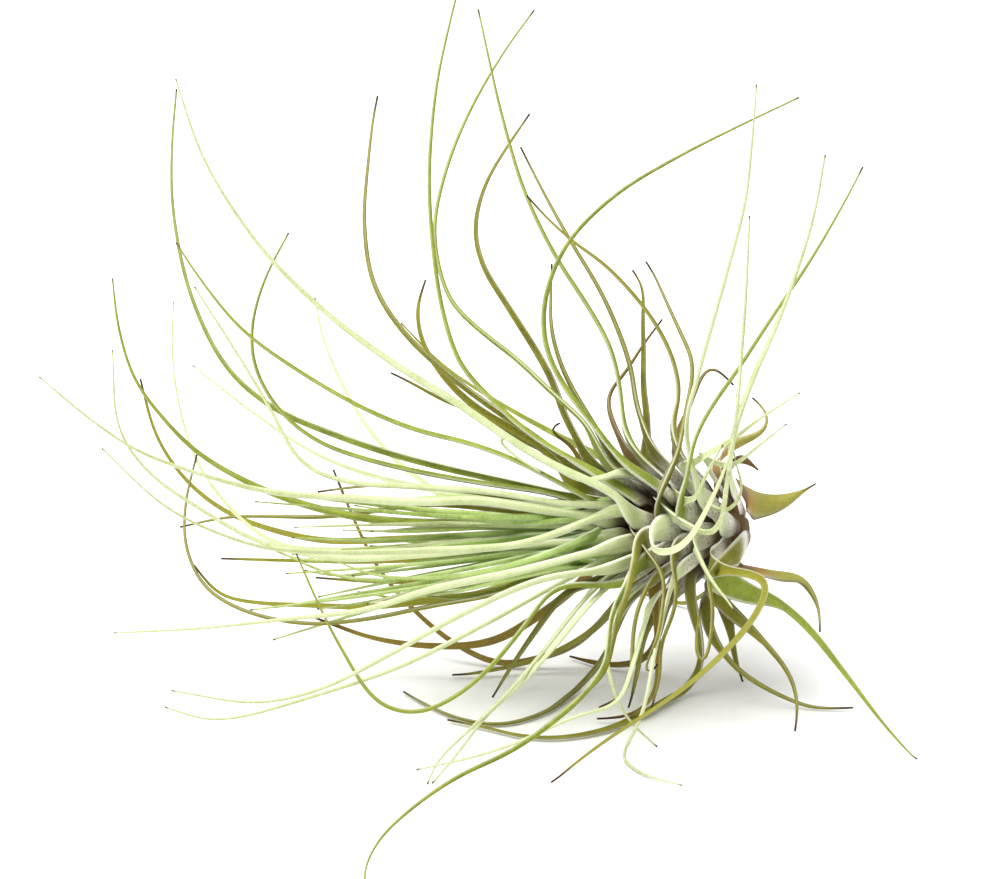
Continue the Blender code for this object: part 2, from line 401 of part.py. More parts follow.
def stem_mesh():
    """The short woody stem, with its dry end rounded over."""
    rows = [(-0.2, 0.45), (0.0, 0.75), (0.6, 0.93), (1.6, 1.0), (4, 1.0), (7, 1.0), (10, 1.0), (13, 1.0),
            (15, 1.0), (17, 1.0), (19, 1.0), (21, 1.0), (22.6, 1.0), (STEM_LENGTH, 0.8)]
    sides = 14
    points, faces = [], []
    for station, share in rows:
        radius = float(stem_radius(station)) * share
        for k in range(sides):
            angle = 2 * math.pi * k / sides
            away = OVER * math.cos(angle) + BESIDE * math.sin(angle)
            points.append(tuple((TAIL + ALONG * station + away * radius) / 1000))
    for r in range(len(rows) - 1):
        for k in range(sides):
            a, b = r * sides + k, r * sides + (k + 1) % sides
            faces.append((a, b, b + sides, a + sides))
    last = (len(rows) - 1) * sides
    faces.append(tuple(range(sides))[::-1])
    faces.append(tuple(range(last, last + sides)))
    return closed_object("stem", points, faces)


def coloured(made, colour):
    """Its own plain surface, named after the piece."""
    material = bpy.data.materials.new(made.name)
    material.use_nodes = True
    shader = material.node_tree.nodes["Principled BSDF"]
    shader.inputs["Base Color"].default_value = (*COLOURS[colour], 1)
    shader.inputs["Roughness"].default_value = 0.6
    made.data.materials.append(material)


def build():
    for old in list(bpy.data.objects):
        bpy.data.objects.remove(old, do_unlink=True)
    coloured(stem_mesh(), "stem")
    routes = [leaf[4] for leaf in LEAVES]
    seats = choose_seats(routes)
    lines, reaches, halves = [], [], []
    for (_, blade, factor, _, route), seat in zip(LEAVES, seats):
        line, reach = leaf_line(route, seat)
        lines.append(line)
        reaches.append(reach)
        halves.append(widths(line, reach, blade, factor)[1])
    lines, left = settle(lines, reaches, halves)
    print("seats", seats, "still close", left)
    for (name, blade, factor, colour, _), seat, line, reach in zip(LEAVES, seats, lines, reaches):
        line = eased(line, 2)
        t, half, radius, fade = widths(line, reach, blade, factor)
        made = leaf_mesh(name, line, seat_line(seat)[2], t, half, radius, fade)
        coloured(made, colour)


build()
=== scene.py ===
import math

import bpy
import numpy as np
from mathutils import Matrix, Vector


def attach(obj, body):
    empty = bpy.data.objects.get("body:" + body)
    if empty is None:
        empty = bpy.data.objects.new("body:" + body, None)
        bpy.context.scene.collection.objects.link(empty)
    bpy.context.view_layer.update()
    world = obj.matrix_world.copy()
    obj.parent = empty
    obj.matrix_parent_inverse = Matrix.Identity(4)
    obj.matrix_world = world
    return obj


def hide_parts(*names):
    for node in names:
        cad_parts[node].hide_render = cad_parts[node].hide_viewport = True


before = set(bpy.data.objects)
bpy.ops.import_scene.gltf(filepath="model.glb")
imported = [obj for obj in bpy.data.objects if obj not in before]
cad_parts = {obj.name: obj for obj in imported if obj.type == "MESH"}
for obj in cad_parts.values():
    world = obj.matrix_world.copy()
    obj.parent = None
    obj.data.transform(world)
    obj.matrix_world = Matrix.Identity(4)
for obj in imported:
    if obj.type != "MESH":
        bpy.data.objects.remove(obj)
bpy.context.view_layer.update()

print("stage: frame is in")

# Lengths are millimetres until a mesh is made. Leaf routes are drawn on a board that leans back
# from upright by lean degrees: each point is (across, up, out), and zero is the plant's heart.
# height, across and back place the heart, from the middle of the plant's footprint.
boardValues = {"lean": 22, "height": 30.0, "across": 31.8, "back": 7.0}

# the woody stem, on the board, from its old dry end to the crown
stemForm = {"tail": (10.4, -1.6, -4.0), "crown": (-12.8, -0.8, 4.0), "radius": 4.3, "tipRadius": 1.1,
            "taperFrom": 13.0, "gap": 0.35}

# Seats are the places for leaves, on a spiral along the stem. open is how steeply a leaf leans away
# from the stem, at the distances openAt along it, and search is where it may leave its seat's line.
seatForm = {"count": 100, "first": 0.4, "pitch": 0.235, "turn": 137.508, "lift": 0.3, "search": (0.5, 16),
            "openAt": (0, 3, 6, 12, 18, 24), "open": (2.2, 1.35, 0.95, 0.7, 0.45, 0.2), "swaps": 40}

# how a leaf's line runs from its seat to its first route points
routeForm = {"step": 1.0, "between": 24, "early": 1.5, "straight": (3.0, 10.0), "skip": 4, "easing": 4}

# the sheath wraps the stem by halfAngle degrees each way and fades into the blade
sheathForm = {"halfAngle": 15.5, "thick": 0.42, "peakAt": 5.0, "widest": 3.6, "past": 7, "least": 12,
              "share": 0.55}
bladeForm = {"thick": 0.55, "tipThick": 0.3, "tipWidth": 0.42, "slimFrom": 0.3, "slim": 0.35,
             "closeOver": 5.0, "closeShare": 0.2}

# leaves that would meet are moved toward or away from the viewer
settleForm = {"rounds": 70, "gap": 0.35, "floorGap": 0.43, "sheathHalf": 0.35, "margin": 0.1, "block": 400,
              "window": 9, "spread": 4.0, "gain": 2.5, "rate": 0.6}

# name, blade width, sheath width factor, colour, route
leaves = (
    ("tail_leaf_01", 2.6, 1.5, "dry", (
        (9.2, 5.6, -3.2), (12.5, 6.2, -8), (16, 5.3, -11), (22, 5.8, -12),
    )),
    ("tail_leaf_02", 2.2, 1.4, "olive", (
        (9.5, -6.5, 1), (12, -7.6, -0.5), (15, -8.4, -2), (19.5, -8.9, -4), (21.2, -11, -5),
        (22.5, -14.5, -5), (22.5, -18, -5),
    )),
    ("tail_leaf_03", 1.5, 1, "green", (
        (7, -9.5, 2), (11, -11.5, 3), (15, -12.5, 4), (20, -16.5, 6), (26, -24, 9), (32, -32, 12),
        (37.5, -38.3, 14.7),
    )),
    ("tail_leaf_04", 1.6, 1, "olive", (
        (6.5, -12, 2), (10.5, -16, 2), (14.5, -20.5, 2), (17.5, -24.5, 2.5), (18.8, -29, 3),
        (18.3, -34, 4.3),
    )),
    ("tail_leaf_05", 1.5, 1, "olive", (
        (4, -14.5, -4), (5.8, -19, -3.5), (9, -23.5, -4), (14, -27, -4.5), (20, -29.7, -5),
        (24, -30.6, -4.3), (27.8, -30.2, -4.5),
    )),
    ("tail_leaf_06", 2.4, 1.2, "olive", (
        (7.5, -11, -8), (8.5, -17, -10), (9, -21.5, -12), (10.3, -26.3, -14.5),
    )),
    ("tail_leaf_07", 2.4, 1, "dry", (
        (6.5, 7, -7), (8.8, 9.3, -9), (10.5, 9.6, -11), (12.7, 8, -13),
    )),
    ("upper_leaf_01", 1.7, 1.1, "dry", (
        (4, 9.5, -2), (7, 11.3, -4), (10, 12.2, -6), (13, 13.5, -7), (14.5, 15.5, -8), (14, 17.6, -8),
        (11.7, 19.6, -8),
    )),
    ("upper_leaf_02", 1.3, 0.9, "dry", (
        (1.5, 14, -6), (2.8, 21, -8), (3.6, 23.2, -8), (5, 25, -8), (7.5, 22.8, -8), (8.7, 21.6, -8),
    )),
    ("upper_leaf_03", 1.5, 1.1, "olive", (
        (-3.5, 2, 12), (-2, 6.5, 12), (-0.3, 11, 11.5), (0.8, 17, 10.5), (1.8, 22, 9.5), (2, 25.3, 9),
        (0, 30, 7), (-2.5, 35.5, 5), (-4.5, 40, 4), (-5.5, 41.3, 4),
    )),
    ("upper_leaf_04", 1.5, 1, "pale", (
        (-1, 8, 15), (0.8, 15, 18.5), (2.5, 22.5, 22.5), (4.5, 30, 27), (7.5, 41, 33), (9.8, 50.5, 38),
        (10.8, 60, 42), (11.4, 68.5, 45),
    )),
    ("upper_leaf_05", 1.5, 1, "green", (
        (-0.5, 3, 13), (1.2, 8, 16), (2, 12.5, 17), (4.5, 17.5, 18), (9, 24, 20), (14.5, 32.5, 22),
        (20.5, 41.5, 24), (26, 51, 25), (28.6, 56, 25),
    )),
    ("upper_leaf_06", 1.6, 1, "pale", (
        (6.5, 8, 16), (8.3, 13, 22), (9.5, 17.5, 26), (11.5, 23, 30), (14.5, 30, 34), (17.5, 38, 38),
        (20.5, 48, 42), (22.2, 57.5, 45),
    )),
    ("upper_leaf_07", 1.7, 1.3, "olive", (
        (-2, 11.5, 2), (-1, 16, 1), (0, 19.5, 0), (-0.8, 25, 0), (-3, 30, 0), (-6.5, 35, 1), (-12, 40.8, 2),
        (-17.5, 44.8, 3), (-22, 49, 4), (-24.5, 51.8, 4),
    )),
    ("upper_leaf_08", 1.6, 1, "olive", (
        (-3, 14.5, -6), (-5, 17, -7), (-5.6, 21, -8), (-5.6, 27, -9), (-5.8, 33, -9), (-5.7, 37.5, -9),
        (-7.5, 40.1, -9),
    )),
    ("upper_leaf_09", 1.7, 1.3, "green", (
        (-8.5, 12, 1), (-8.8, 15, 1), (-9.5, 21, 0), (-11, 27.5, 0), (-14.5, 34, -1), (-20, 42.5, -1),
        (-25, 53, -2), (-28.8, 66, -3), (-30.5, 73.5, -3), (-32.3, 81.8, -3),
    )),
    ("upper_leaf_10", 1.5, 1, "olive", (
        (-5.2, 13.3, -2), (-6.8, 18.5, -3), (-7.5, 23.5, -4), (-9, 28.5, -4), (-12.5, 36.5, -5),
        (-17.5, 44.8, -5), (-21.5, 52, -6), (-25.5, 59.8, -6),
    )),
    ("upper_leaf_11", 1.6, 1.3, "green", (
        (-6.5, 6, 8), (-10, 10.5, 9), (-13.5, 15, 10), (-17.8, 20.5, 11), (-21, 26.5, 12),
        (-21.8, 32.5, 13), (-20.5, 39, 14), (-17.3, 45, 15), (-10, 52, 17), (0, 58, 20), (10, 63, 22),
        (18.5, 67, 24),
    )),
    ("upper_leaf_12", 1.6, 1, "olive", (
        (-13, 14.3, 0), (-16.2, 19.5, -1), (-19, 25, -2), (-20.6, 31, -2), (-20.6, 36, -3), (-20.5, 41, -3),
    )),
    ("upper_leaf_13", 1.3, 1, "green", (
        (-11, 10, 4), (-15, 15.5, 4), (-18, 18.3, 3), (-21.5, 21.5, 2), (-26, 25.8, 0), (-32, 30.5, -2),
        (-36.8, 35.5, -4), (-39.3, 46, -7), (-37.8, 55, -9), (-34, 65, -11), (-28, 75.5, -13),
        (-23.3, 82, -14),
    )),
    ("upper_leaf_14", 1.6, 1, "olive", (
        (-17.3, 12, -2), (-18.3, 17, -2), (-20, 22, -3), (-22.7, 27, -4), (-27.5, 34.5, -5),
        (-31.5, 41, -6), (-32.7, 47, -7), (-31, 54, -8), (-27.5, 60, -9), (-24, 65.2, -9),
    )),
    ("upper_leaf_15", 1.4, 1, "green", (
        (-9, 5.5, 8), (-13, 7.8, 9), (-18, 10.3, 10), (-24, 14, 11), (-30, 19.3, 12), (-35, 25, 13),
        (-37.5, 32, 14), (-39, 40, 15), (-40, 52, 16), (-39.8, 60, 17), (-38.7, 70, 18), (-36.5, 80, 19),
        (-35, 86, 20),
    )),
    ("upper_leaf_16", 1.9, 1, "olive", (
        (-16, 8.7, -3), (-21, 11.3, -3), (-27, 14.8, -4), (-33, 18.5, -5), (-38.5, 24, -5), (-41.3, 29, -6),
        (-42, 34, -6), (-40.7, 38.5, -6),
    )),
    ("upper_leaf_17", 1.6, 1, "olive", (
        (-15, 9.5, 2), (-22, 12.8, 2), (-30, 18.2, 1), (-37, 23.5, 0), (-44.4, 30.5, -1), (-49, 38, -2),
        (-50.5, 48, -3), (-50, 56, -4), (-49, 65, -5), (-48.4, 68, -5),
    )),
    ("upper_leaf_18", 1.5, 1, "olive", (
        (-16, 8, -5), (-24, 12.5, -6), (-32, 17, -6), (-38, 19.3, -7), (-42.5, 21.8, -7), (-46.3, 23.6, -7),
    )),
    ("fan_leaf_01", 1.4, 1, "green", (
        (-12, 2.5, 0), (-20, 4.6, -2), (-30, 6.8, -4), (-38, 8.6, -6), (-46, 10.7, -8), (-55, 13.7, -10),
        (-65, 18, -12), (-72.5, 24.3, -14), (-78.5, 36, -16), (-81.5, 50, -18), (-81.7, 60, -19),
        (-81, 69.5, -20),
    )),
    ("fan_leaf_02", 1.5, 1.1, "pale", (
        (-6.5, 2, 12), (-10, 4, 14), (-14, 6.2, 16), (-20, 8.9, 18), (-27, 13, 21), (-35, 18.5, 24),
        (-45, 24.7, 28), (-55, 32, 31), (-65, 41.5, 34), (-72, 51, 37), (-76, 58.5, 39), (-79.7, 69.5, 41),
    )),
    ("fan_leaf_03", 1.5, 1, "green", (
        (-12, 3.2, 6), (-20, 6.5, 7), (-27, 10, 8), (-34, 12.5, 8), (-42, 14.5, 8), (-50, 17.7, 8),
        (-60, 23.3, 7), (-70, 30.5, 6), (-77, 39, 5), (-80.5, 44.3, 5),
    )),
    ("fan_leaf_04", 1.9, 1, "green", (
        (-12, 1.5, 4), (-20, 4.2, 3), (-30, 5.8, 3), (-40, 7.5, 2), (-50, 9.8, 1), (-58, 12.7, 0),
        (-64, 17.5, -1), (-68, 24.5, -2), (-68.5, 31, -3), (-66.5, 38.5, -4), (-62.7, 46, -5),
    )),
    ("fan_leaf_05", 1.4, 1, "green", (
        (-11, -1, 5), (-20, -0.9, 6), (-28, 0, 7), (-36, -0.4, 8), (-45, -0.2, 9), (-54, 1, 10),
        (-65, 4.3, 11), (-76.5, 10.5, 12), (-83, 17, 13), (-87, 22.7, 13), (-89.5, 31, 14),
        (-90.4, 38.5, 14),
    )),
    ("fan_leaf_06", 1.4, 1, "olive", (
        (-11, -1.5, 2), (-22, -2, -2), (-34, -2.7, -6), (-46, -3.3, -10), (-57, -3.5, -13),
        (-66, -1.6, -15), (-73, 1.2, -17), (-79.5, 6.3, -19), (-84.3, 13.5, -20), (-86.9, 22.7, -21),
    )),
    ("fan_leaf_07", 1.4, 1, "pale", (
        (-11, -2.5, 8), (-25, -4, 14), (-40, -5.5, 20), (-55, -6, 25), (-67, -3.3, 28), (-76, 1.8, 31),
        (-84, 7.5, 33), (-88.8, 14.5, 35), (-89.8, 27, 36),
    )),
    ("fan_leaf_08", 1.5, 1, "pale", (
        (-11, 0.5, 8), (-22, 1.8, 14), (-32, 3.3, 19), (-42, 3.1, 24), (-54, 3.8, 28), (-65, 4.7, 32),
        (-77, 7.8, 36), (-86, 11.3, 39), (-93, 16, 42), (-101, 22.7, 45),
    )),
    ("fan_leaf_09", 1.5, 1, "olive", (
        (-12, -6, 4), (-20, -9, 6), (-30, -12, 8), (-40, -13.8, 9), (-50, -15.8, 9), (-60, -16.5, 9),
        (-70, -14.3, 8), (-76, -10.5, 7), (-79, -4, 6), (-79, 3, 5), (-77.2, 10.5, 4),
    )),
    ("fan_leaf_10", 1.6, 1, "olive", (
        (-12, -5.5, 0), (-20, -8.5, -2), (-30, -11.8, -4), (-40, -13.1, -6), (-50, -14.1, -7),
        (-60, -13.8, -8), (-68, -13.4, -9), (-74, -12, -9), (-78, -7.3, -10),
    )),
    ("fan_leaf_11", 1.4, 1, "olive", (
        (-11, 0, 2), (-20, 0.9, 0), (-30, 2, -2), (-41, 2.7, -4), (-50, 1.4, -6), (-58, 0.5, -8),
        (-66, 0.6, -10), (-73, 0.4, -12), (-80.3, -1.2, -14),
    )),
    ("fan_leaf_12", 1.8, 1, "dry", (
        (-12, -7, -6), (-17, -11.5, -9), (-23, -16, -11), (-30, -19.8, -13), (-40, -20.5, -14),
        (-50, -19, -14), (-55, -17.2, -14), (-59.3, -15.6, -14),
    )),
    ("fan_leaf_13", 1.3, 1, "dry", (
        (-8, -14, -14), (-16, -20, -18), (-23, -22.7, -20), (-29, -23.4, -21), (-36, -20.3, -22),
        (-42.5, -15, -23), (-48.5, -8, -24), (-52.5, 0, -25), (-55.8, 8, -26),
    )),
    ("fan_leaf_14", 1.8, 1, "olive", (
        (-9, -15, -12), (-15, -19, -17), (-22, -22.5, -18), (-28, -24, -17.5), (-36.5, -25.5, -17),
    )),
    ("fan_leaf_15", 1.4, 1, "pale", (
        (-11, 1, -1), (-25, 1.5, -12), (-36, 3, -20), (-43, 7.5, -26), (-47, 11, -30), (-52, 17.5, -35),
        (-57.5, 29, -42), (-59, 36, -46),
    )),
    ("fan_leaf_16", 1.5, 1, "pale", (
        (-11, -5, 10), (-25, -8, 22), (-40, -11, 34), (-50, -14, 40), (-62, -15.3, 46), (-76, -16.7, 52),
        (-89, -17.3, 56),
    )),
    ("fan_leaf_17", 1.5, 1, "pale", (
        (-12, -7, 12), (-22, -9.5, 20), (-34, -14.5, 30), (-47, -21.5, 38), (-57, -26.3, 44),
        (-67, -28.3, 50), (-80, -26.3, 56),
    )),
    ("fan_leaf_18", 1.4, 1, "pale", (
        (-12, -7.5, 8), (-20, -10.5, 12), (-32, -17, 18), (-45, -23.3, 24), (-60, -28.2, 30),
        (-70, -30.9, 34), (-75, -31.2, 36), (-81.5, -29.2, 38),
    )),
    ("fan_leaf_19", 1.4, 1, "green", (
        (-12, -8, 10), (-20, -11, 14), (-25, -17, 17), (-30.5, -23.5, 20), (-36, -28, 22), (-42, -30.4, 24),
        (-48, -28.8, 26), (-54, -20, 28), (-58, -12, 30), (-61, -5, 31),
    )),
    ("lower_leaf_01", 2.1, 1.2, "olive", (
        (-12, -9, -2), (-17.5, -11.5, -3), (-23, -18, -4), (-27.5, -24.5, -5), (-30, -28.5, -6),
    )),
    ("lower_leaf_02", 1.4, 1, "pale", (
        (-11, -8, 8), (-16, -13.5, 12), (-22, -21, 15), (-28, -27.8, 18), (-34, -33.5, 20),
        (-39, -38.5, 22), (-40.3, -42, 24),
    )),
    ("lower_leaf_03", 1.5, 1.1, "green", (
        (-9, -8, 14), (-11, -15, 20), (-12, -22.5, 25), (-15, -27, 28), (-20, -31.5, 31), (-27, -36.3, 34),
        (-35, -40, 38), (-42, -44.5, 45), (-47.5, -49.5, 52), (-49.8, -54, 58), (-49.7, -57.5, 63),
    )),
    ("lower_leaf_04", 1.5, 1, "olive", (
        (-8, -14, -5), (-12.5, -23, -9), (-16, -27, -11), (-21.3, -31, -3), (-29, -33.1, 2),
        (-35, -32.3, 0), (-41, -29.7, -6), (-44.3, -27.8, -10.5),
    )),
    ("lower_leaf_05", 1.5, 0.7, "olive", (
        (3, -12, 0), (3.4, -18, -2), (3.4, -24, -7), (1, -27.6, -10), (-5, -31, -3), (-12, -34, 4),
        (-20, -35.2, 7), (-26, -34.7, 6), (-31, -33.3, 3), (-37.2, -32, 0),
    )),
    ("lower_leaf_06", 1.4, 1, "olive", (
        (6.5, -8, 12.5), (11, -8.5, 17), (13.8, -9.5, 18), (12.5, -14, 20), (9, -18.7, 21), (3, -24.5, 22),
        (-3, -29, 22.5), (-9, -32.8, 23), (-15, -37, 23), (-20.7, -41.6, 23.5),
    )),
    ("lower_leaf_07", 2.0, 1, "dry", (
        (-3, -16, -14), (-5, -22.5, -18), (-10, -23.7, -20), (-12.5, -23.5, -20.5), (-17.5, -22.2, -24),
    )),
    ("lower_leaf_08", 2.2, 1.2, "olive", (
        (-5.3, -15, -4), (-5.7, -19, -5), (-6.3, -23, -5), (-7.3, -27, -5), (-8.2, -30.5, -4.5),
    )),
    ("lower_leaf_09", 1.4, 1, "pale", (
        (-3, -12, 14), (-4, -20, 18), (-6, -30, 19), (-8.5, -35.5, 16), (-9.5, -37.8, 14),
        (-6, -40.3, 20.5), (0, -42, 24.5),
    )),
    ("front_leaf_01", 1.3, 1.1, "pale", (
        (-4, -2, 13), (-4.8, -3.5, 17), (-4, -4.8, 20), (-2.5, -5, 22), (-0.5, -4.5, 23.5), (1, -3.2, 24.5),
        (2.2, -1.5, 25), (3.5, 1, 25.5), (5, 4, 26), (6.5, 7.5, 27), (7.5, 10.5, 28), (8.3, 14, 29),
        (8.5, 20, 30),
    )),
    ("front_leaf_02", 1.9, 1.3, "olive", (
        (-7, -6, 12), (-7.8, -9, 15), (-8.5, -12, 17), (-9.5, -14.5, 19), (-11, -20, 21), (-12, -24, 22),
        (-15, -27, 22), (-18, -29.5, 22), (-22.3, -33.5, 22),
    )),
    ("front_leaf_03", 1.5, 1.2, "olive", (
        (-4, -8, 10), (-5.5, -11, 12), (-6.8, -14, 13), (-7.6, -18, 14), (-7.8, -23, 14), (-8.3, -26.5, 13),
        (-9.3, -28, 12), (-13, -29.8, 10),
    )),
    ("far_leaf_01", 1.5, 1, "green", (
        (-4, 4, -14), (-7, 7, -24), (-12, 10, -34), (-20, 14, -43), (-29, 19, -50), (-38, 25, -55),
        (-45, 32, -58),
    )),
    ("far_leaf_02", 1.5, 1, "olive", (
        (3, 0, -14), (7, -2, -23), (8, -7, -31), (5, -12, -39), (-1, -14.5, -46), (-8, -13, -50),
    )),
    ("far_leaf_03", 1.5, 1, "green", (
        (-8, -5, -10), (-15, -7, -20), (-23, -9, -29), (-32, -12, -37), (-42, -13.5, -43), (-52, -12, -48),
    )),
)

# thin leaves between the others, seated and drawn the same way
fineLeaves = (
    ("fine_upper_01", 1.4, 0.8, "pale", (
        (8, 11, 24), (8.3, 14, 28), (9.2, 25.5, 33), (9.8, 34, 36), (10.2, 42, 38), (10.4, 48, 40),
    )),
    ("fine_upper_02", 1.5, 0.8, "dry", (
        (-12, 16.3, -8), (-11.5, 20, -10), (-8.8, 23.3, -11), (-6.2, 27.5, -12), (-2.7, 32.2, -13),
    )),
    ("fine_upper_03", 1.4, 0.8, "dry", (
        (-16, 11.5, -5), (-17.5, 12.5, -6), (-19.5, 13.2, -7), (-20.9, 14.2, -8), (-20.8, 15.3, -9),
        (-19.2, 15.5, -9),
    )),
    ("fine_upper_04", 1.4, 0.9, "pale", (
        (-10, 4, 10), (-16, 6.5, 13), (-22, 10, 16), (-27, 12.8, 18), (-29.4, 13.6, 19), (-28.8, 12.3, 20),
        (-26, 10, 20), (-22, 7.5, 20),
    )),
    ("fine_fan_01", 1.3, 0.8, "pale", (
        (-11, -2, 10), (-25, -3.5, 20), (-40, -4.5, 28), (-55, -4.8, 36), (-66, -4, 42), (-76, -0.5, 46),
        (-82, 3, 48), (-91, 11.5, 51),
    )),
    ("fine_fan_02", 1.1, 0.8, "pale", (
        (-11, -2.2, 0), (-25, -3, 0), (-40, -4, -1), (-55, -4.8, -2), (-64, -4, -3), (-70.5, 0.3, -4),
        (-77.2, 9, -5), (-80.4, 19, -6), (-81.4, 27, -7), (-81.2, 35, -8),
    )),
    ("fine_fan_03", 1.3, 0.8, "olive", (
        (-12, 2, 3), (-22, 3.2, 2), (-34, 4.6, 0), (-46, 5.7, -2), (-52, 5.3, -3), (-58, 4.5, -4),
    )),
    ("fine_fan_04", 1.3, 0.8, "olive", (
        (-11, -3.5, 2), (-24, -4.8, -2), (-38, -6, -6), (-50, -6.7, -9), (-62, -6.6, -12),
        (-73.7, -6.3, -14),
    )),
    ("fine_fan_05", 1.3, 0.8, "olive", (
        (-11, -4, 0), (-20, -6.5, -4), (-30, -8.9, -8), (-40, -10, -12), (-50, -10, -15),
        (-58.5, -9.4, -17),
    )),
    ("fine_fan_06", 1.3, 0.8, "pale", (
        (-11, 1, 8), (-20, 3, 12), (-30, 4.7, 16), (-43, 5.6, 20), (-53, 6.3, 23), (-60, 9.2, 25),
        (-65.5, 18.5, 27), (-70, 26, 29), (-77, 37, 31),
    )),
    ("fine_fan_07", 1.3, 0.8, "pale", (
        (-11, 1, 2), (-20, 2, -6), (-30, 3.5, -14), (-45, 6, -24), (-55, 9, -32), (-62, 12.5, -38),
        (-72, 19.5, -44), (-79, 25, -48),
    )),
    ("fine_young_01", 1.5, 0.8, "fresh", (
        (-12, -1.5, 5), (-22, -2, 6), (-30, -2.5, 6), (-38, -2.8, 6), (-50, -3.3, 6), (-62, -2.8, 5),
    )),
    ("fine_young_02", 1.5, 0.8, "fresh", (
        (-12, -2, 6), (-20, -2.5, 8), (-30, -3.5, 9), (-40, -4.6, 10), (-48, -6.2, 10), (-56, -6.5, 10),
        (-62, -6, 9), (-68, -3, 8),
    )),
    ("fine_young_03", 1.4, 0.8, "fresh", (
        (-12, -3, 4), (-20, -4, 5), (-30, -5.2, 5), (-40, -6.5, 5), (-48, -8, 5), (-55, -9, 4),
        (-60, -8, 3),
    )),
    ("fine_young_04", 1.4, 0.8, "fresh", (
        (-12, -3.5, 7), (-20, -5, 9), (-30, -7, 11), (-38, -8.5, 12), (-45, -9.5, 12), (-50, -9.5, 12),
        (-56, -8.5, 11), (-66, -4, 10),
    )),
    ("fine_young_05", 1.6, 0.8, "fresh", (
        (-12, -4.5, 5), (-18, -6, 6), (-24, -8, 7), (-30, -9.7, 7), (-36, -10.8, 7), (-42, -11.5, 7),
        (-48, -12.8, 6), (-58, -14.2, 5),
    )),
    ("fine_young_06", 1.9, 0.8, "green", (
        (-12, -5, 3), (-18, -7, 3), (-24, -9.5, 3), (-30, -11.8, 2), (-36, -12.6, 1), (-42, -12, 0),
    )),
    ("fine_young_07", 1.4, 0.8, "fresh", (
        (-12, 1.5, 5), (-20, 1.5, 6), (-26, 2.6, 7), (-36, 3.8, 7), (-48, 3.2, 7), (-60, 4.2, 6),
    )),
    ("fine_young_08", 1.4, 0.8, "fresh", (
        (-13, -1, 3), (-22, -0.8, 3), (-32, -1, 2), (-43, -1.8, 1), (-54, -1.6, 0),
    )),
    ("fine_young_09", 1.3, 0.8, "fresh", (
        (-12, -3, 8), (-22, -5.8, 12), (-31, -8.2, 15), (-40, -9.2, 17), (-49, -8.6, 18), (-57, -5.5, 18),
    )),
    ("fine_young_10", 1.4, 0.8, "fresh", (
        (-12, 0.4, 6), (-22, 0.8, 9), (-31, 0.6, 11), (-42, 1, 12), (-52, 2.4, 12),
    )),
    ("fine_young_11", 1.5, 0.8, "fresh", (
        (-12, -5.5, 6), (-20, -8, 9), (-28, -9.6, 10), (-37, -11.6, 10), (-46, -12, 9),
    )),
    ("fine_lower_01", 1.3, 0.8, "pale", (
        (-10, -9, 10), (-15, -14, 13), (-20, -20, 15), (-26, -26.5, 17), (-31, -31, 19), (-36, -37.5, 22),
        (-39.5, -41.5, 24.5),
    )),
    ("fine_lower_02", 1.2, 0.8, "pale", (
        (-6, -12, 16), (-8, -24, 20), (-10, -28.8, 22), (-17, -31, 24), (-26, -35, 26), (-33, -37.3, 27),
        (-42, -39.3, 28),
    )),
    ("fine_lower_03", 1.2, 0.8, "pale", (
        (-8, -10, 12), (-11.8, -20, 15), (-11, -26, 15), (-8.5, -31.5, 13), (-3.8, -36, 12),
    )),
    ("fine_lower_04", 1.3, 0.8, "dry", (
        (-1, -17, -2), (-4, -28, -1), (-8, -31.3, 0.5), (-13.3, -31.8, 1),
    )),
    ("fine_front_01", 1.4, 1, "pale", (
        (1.5, 0, 14), (2.5, 3.5, 18), (3.5, 6.5, 21), (5, 9.5, 23), (6.5, 12, 25),
    )),
    ("fine_front_02", 1.4, 1, "pale", (
        (3, -4.5, 13), (5, -2, 18), (6.5, 0.5, 20), (7.3, 6, 22), (8, 12, 24),
    )),
    ("fine_front_03", 1.2, 0.9, "pale", (
        (5, -1, 12), (7, 1.5, 15), (8.5, 2.5, 17), (9.7, 4, 18), (9.8, 6, 18), (8.8, 8, 18), (8.3, 11, 17),
    )),
    ("fine_front_04", 1.3, 1, "olive", (
        (-3, -6, 12), (-2.7, -9, 15), (-3.2, -15, 17), (-3.5, -17.5, 18), (-4.5, -20.5, 18),
        (-5.5, -22.3, 18), (-6.2, -23.8, 18), (-5.8, -24.8, 18), (-5, -24.9, 18), (-4.3, -24, 18),
        (-3.8, -22.8, 18),
    )),
    ("fine_front_05", 1.3, 1, "olive", (
        (0, -7, 12), (-0.8, -13.5, 15), (-2.8, -18.5, 16), (-3.5, -21, 16), (-3.2, -24, 16),
        (-4.8, -30, 15),
    )),
    ("fine_front_06", 1.3, 1, "olive", (
        (3, -6, 12), (4, -9, 14), (5, -12, 15), (4.8, -18, 16), (4, -22, 16), (3.5, -23.3, 16),
        (2.7, -22.8, 16), (2.3, -21, 16), (2.3, -18, 16), (2.8, -15, 16), (3.3, -13, 16),
    )),
    ("fine_front_07", 1.8, 1, "pale", (
        (3, -5.5, 13), (4, -8, 16), (5.5, -10.5, 18), (7, -12.3, 19), (8, -13.3, 19.5), (8.3, -14.2, 20),
    )),
    ("fine_tail_01", 1.2, 0.9, "pale", (
        (6, 6, 16), (8.7, 13.3, 26), (12, 16, 33), (18.3, 20.2, 40),
    )),
    ("fine_tail_02", 1.2, 0.9, "pale", (
        (6.5, 5, 15), (8.5, 9, 22), (12, 11.8, 29), (16.3, 15.3, 36),
    )),
)


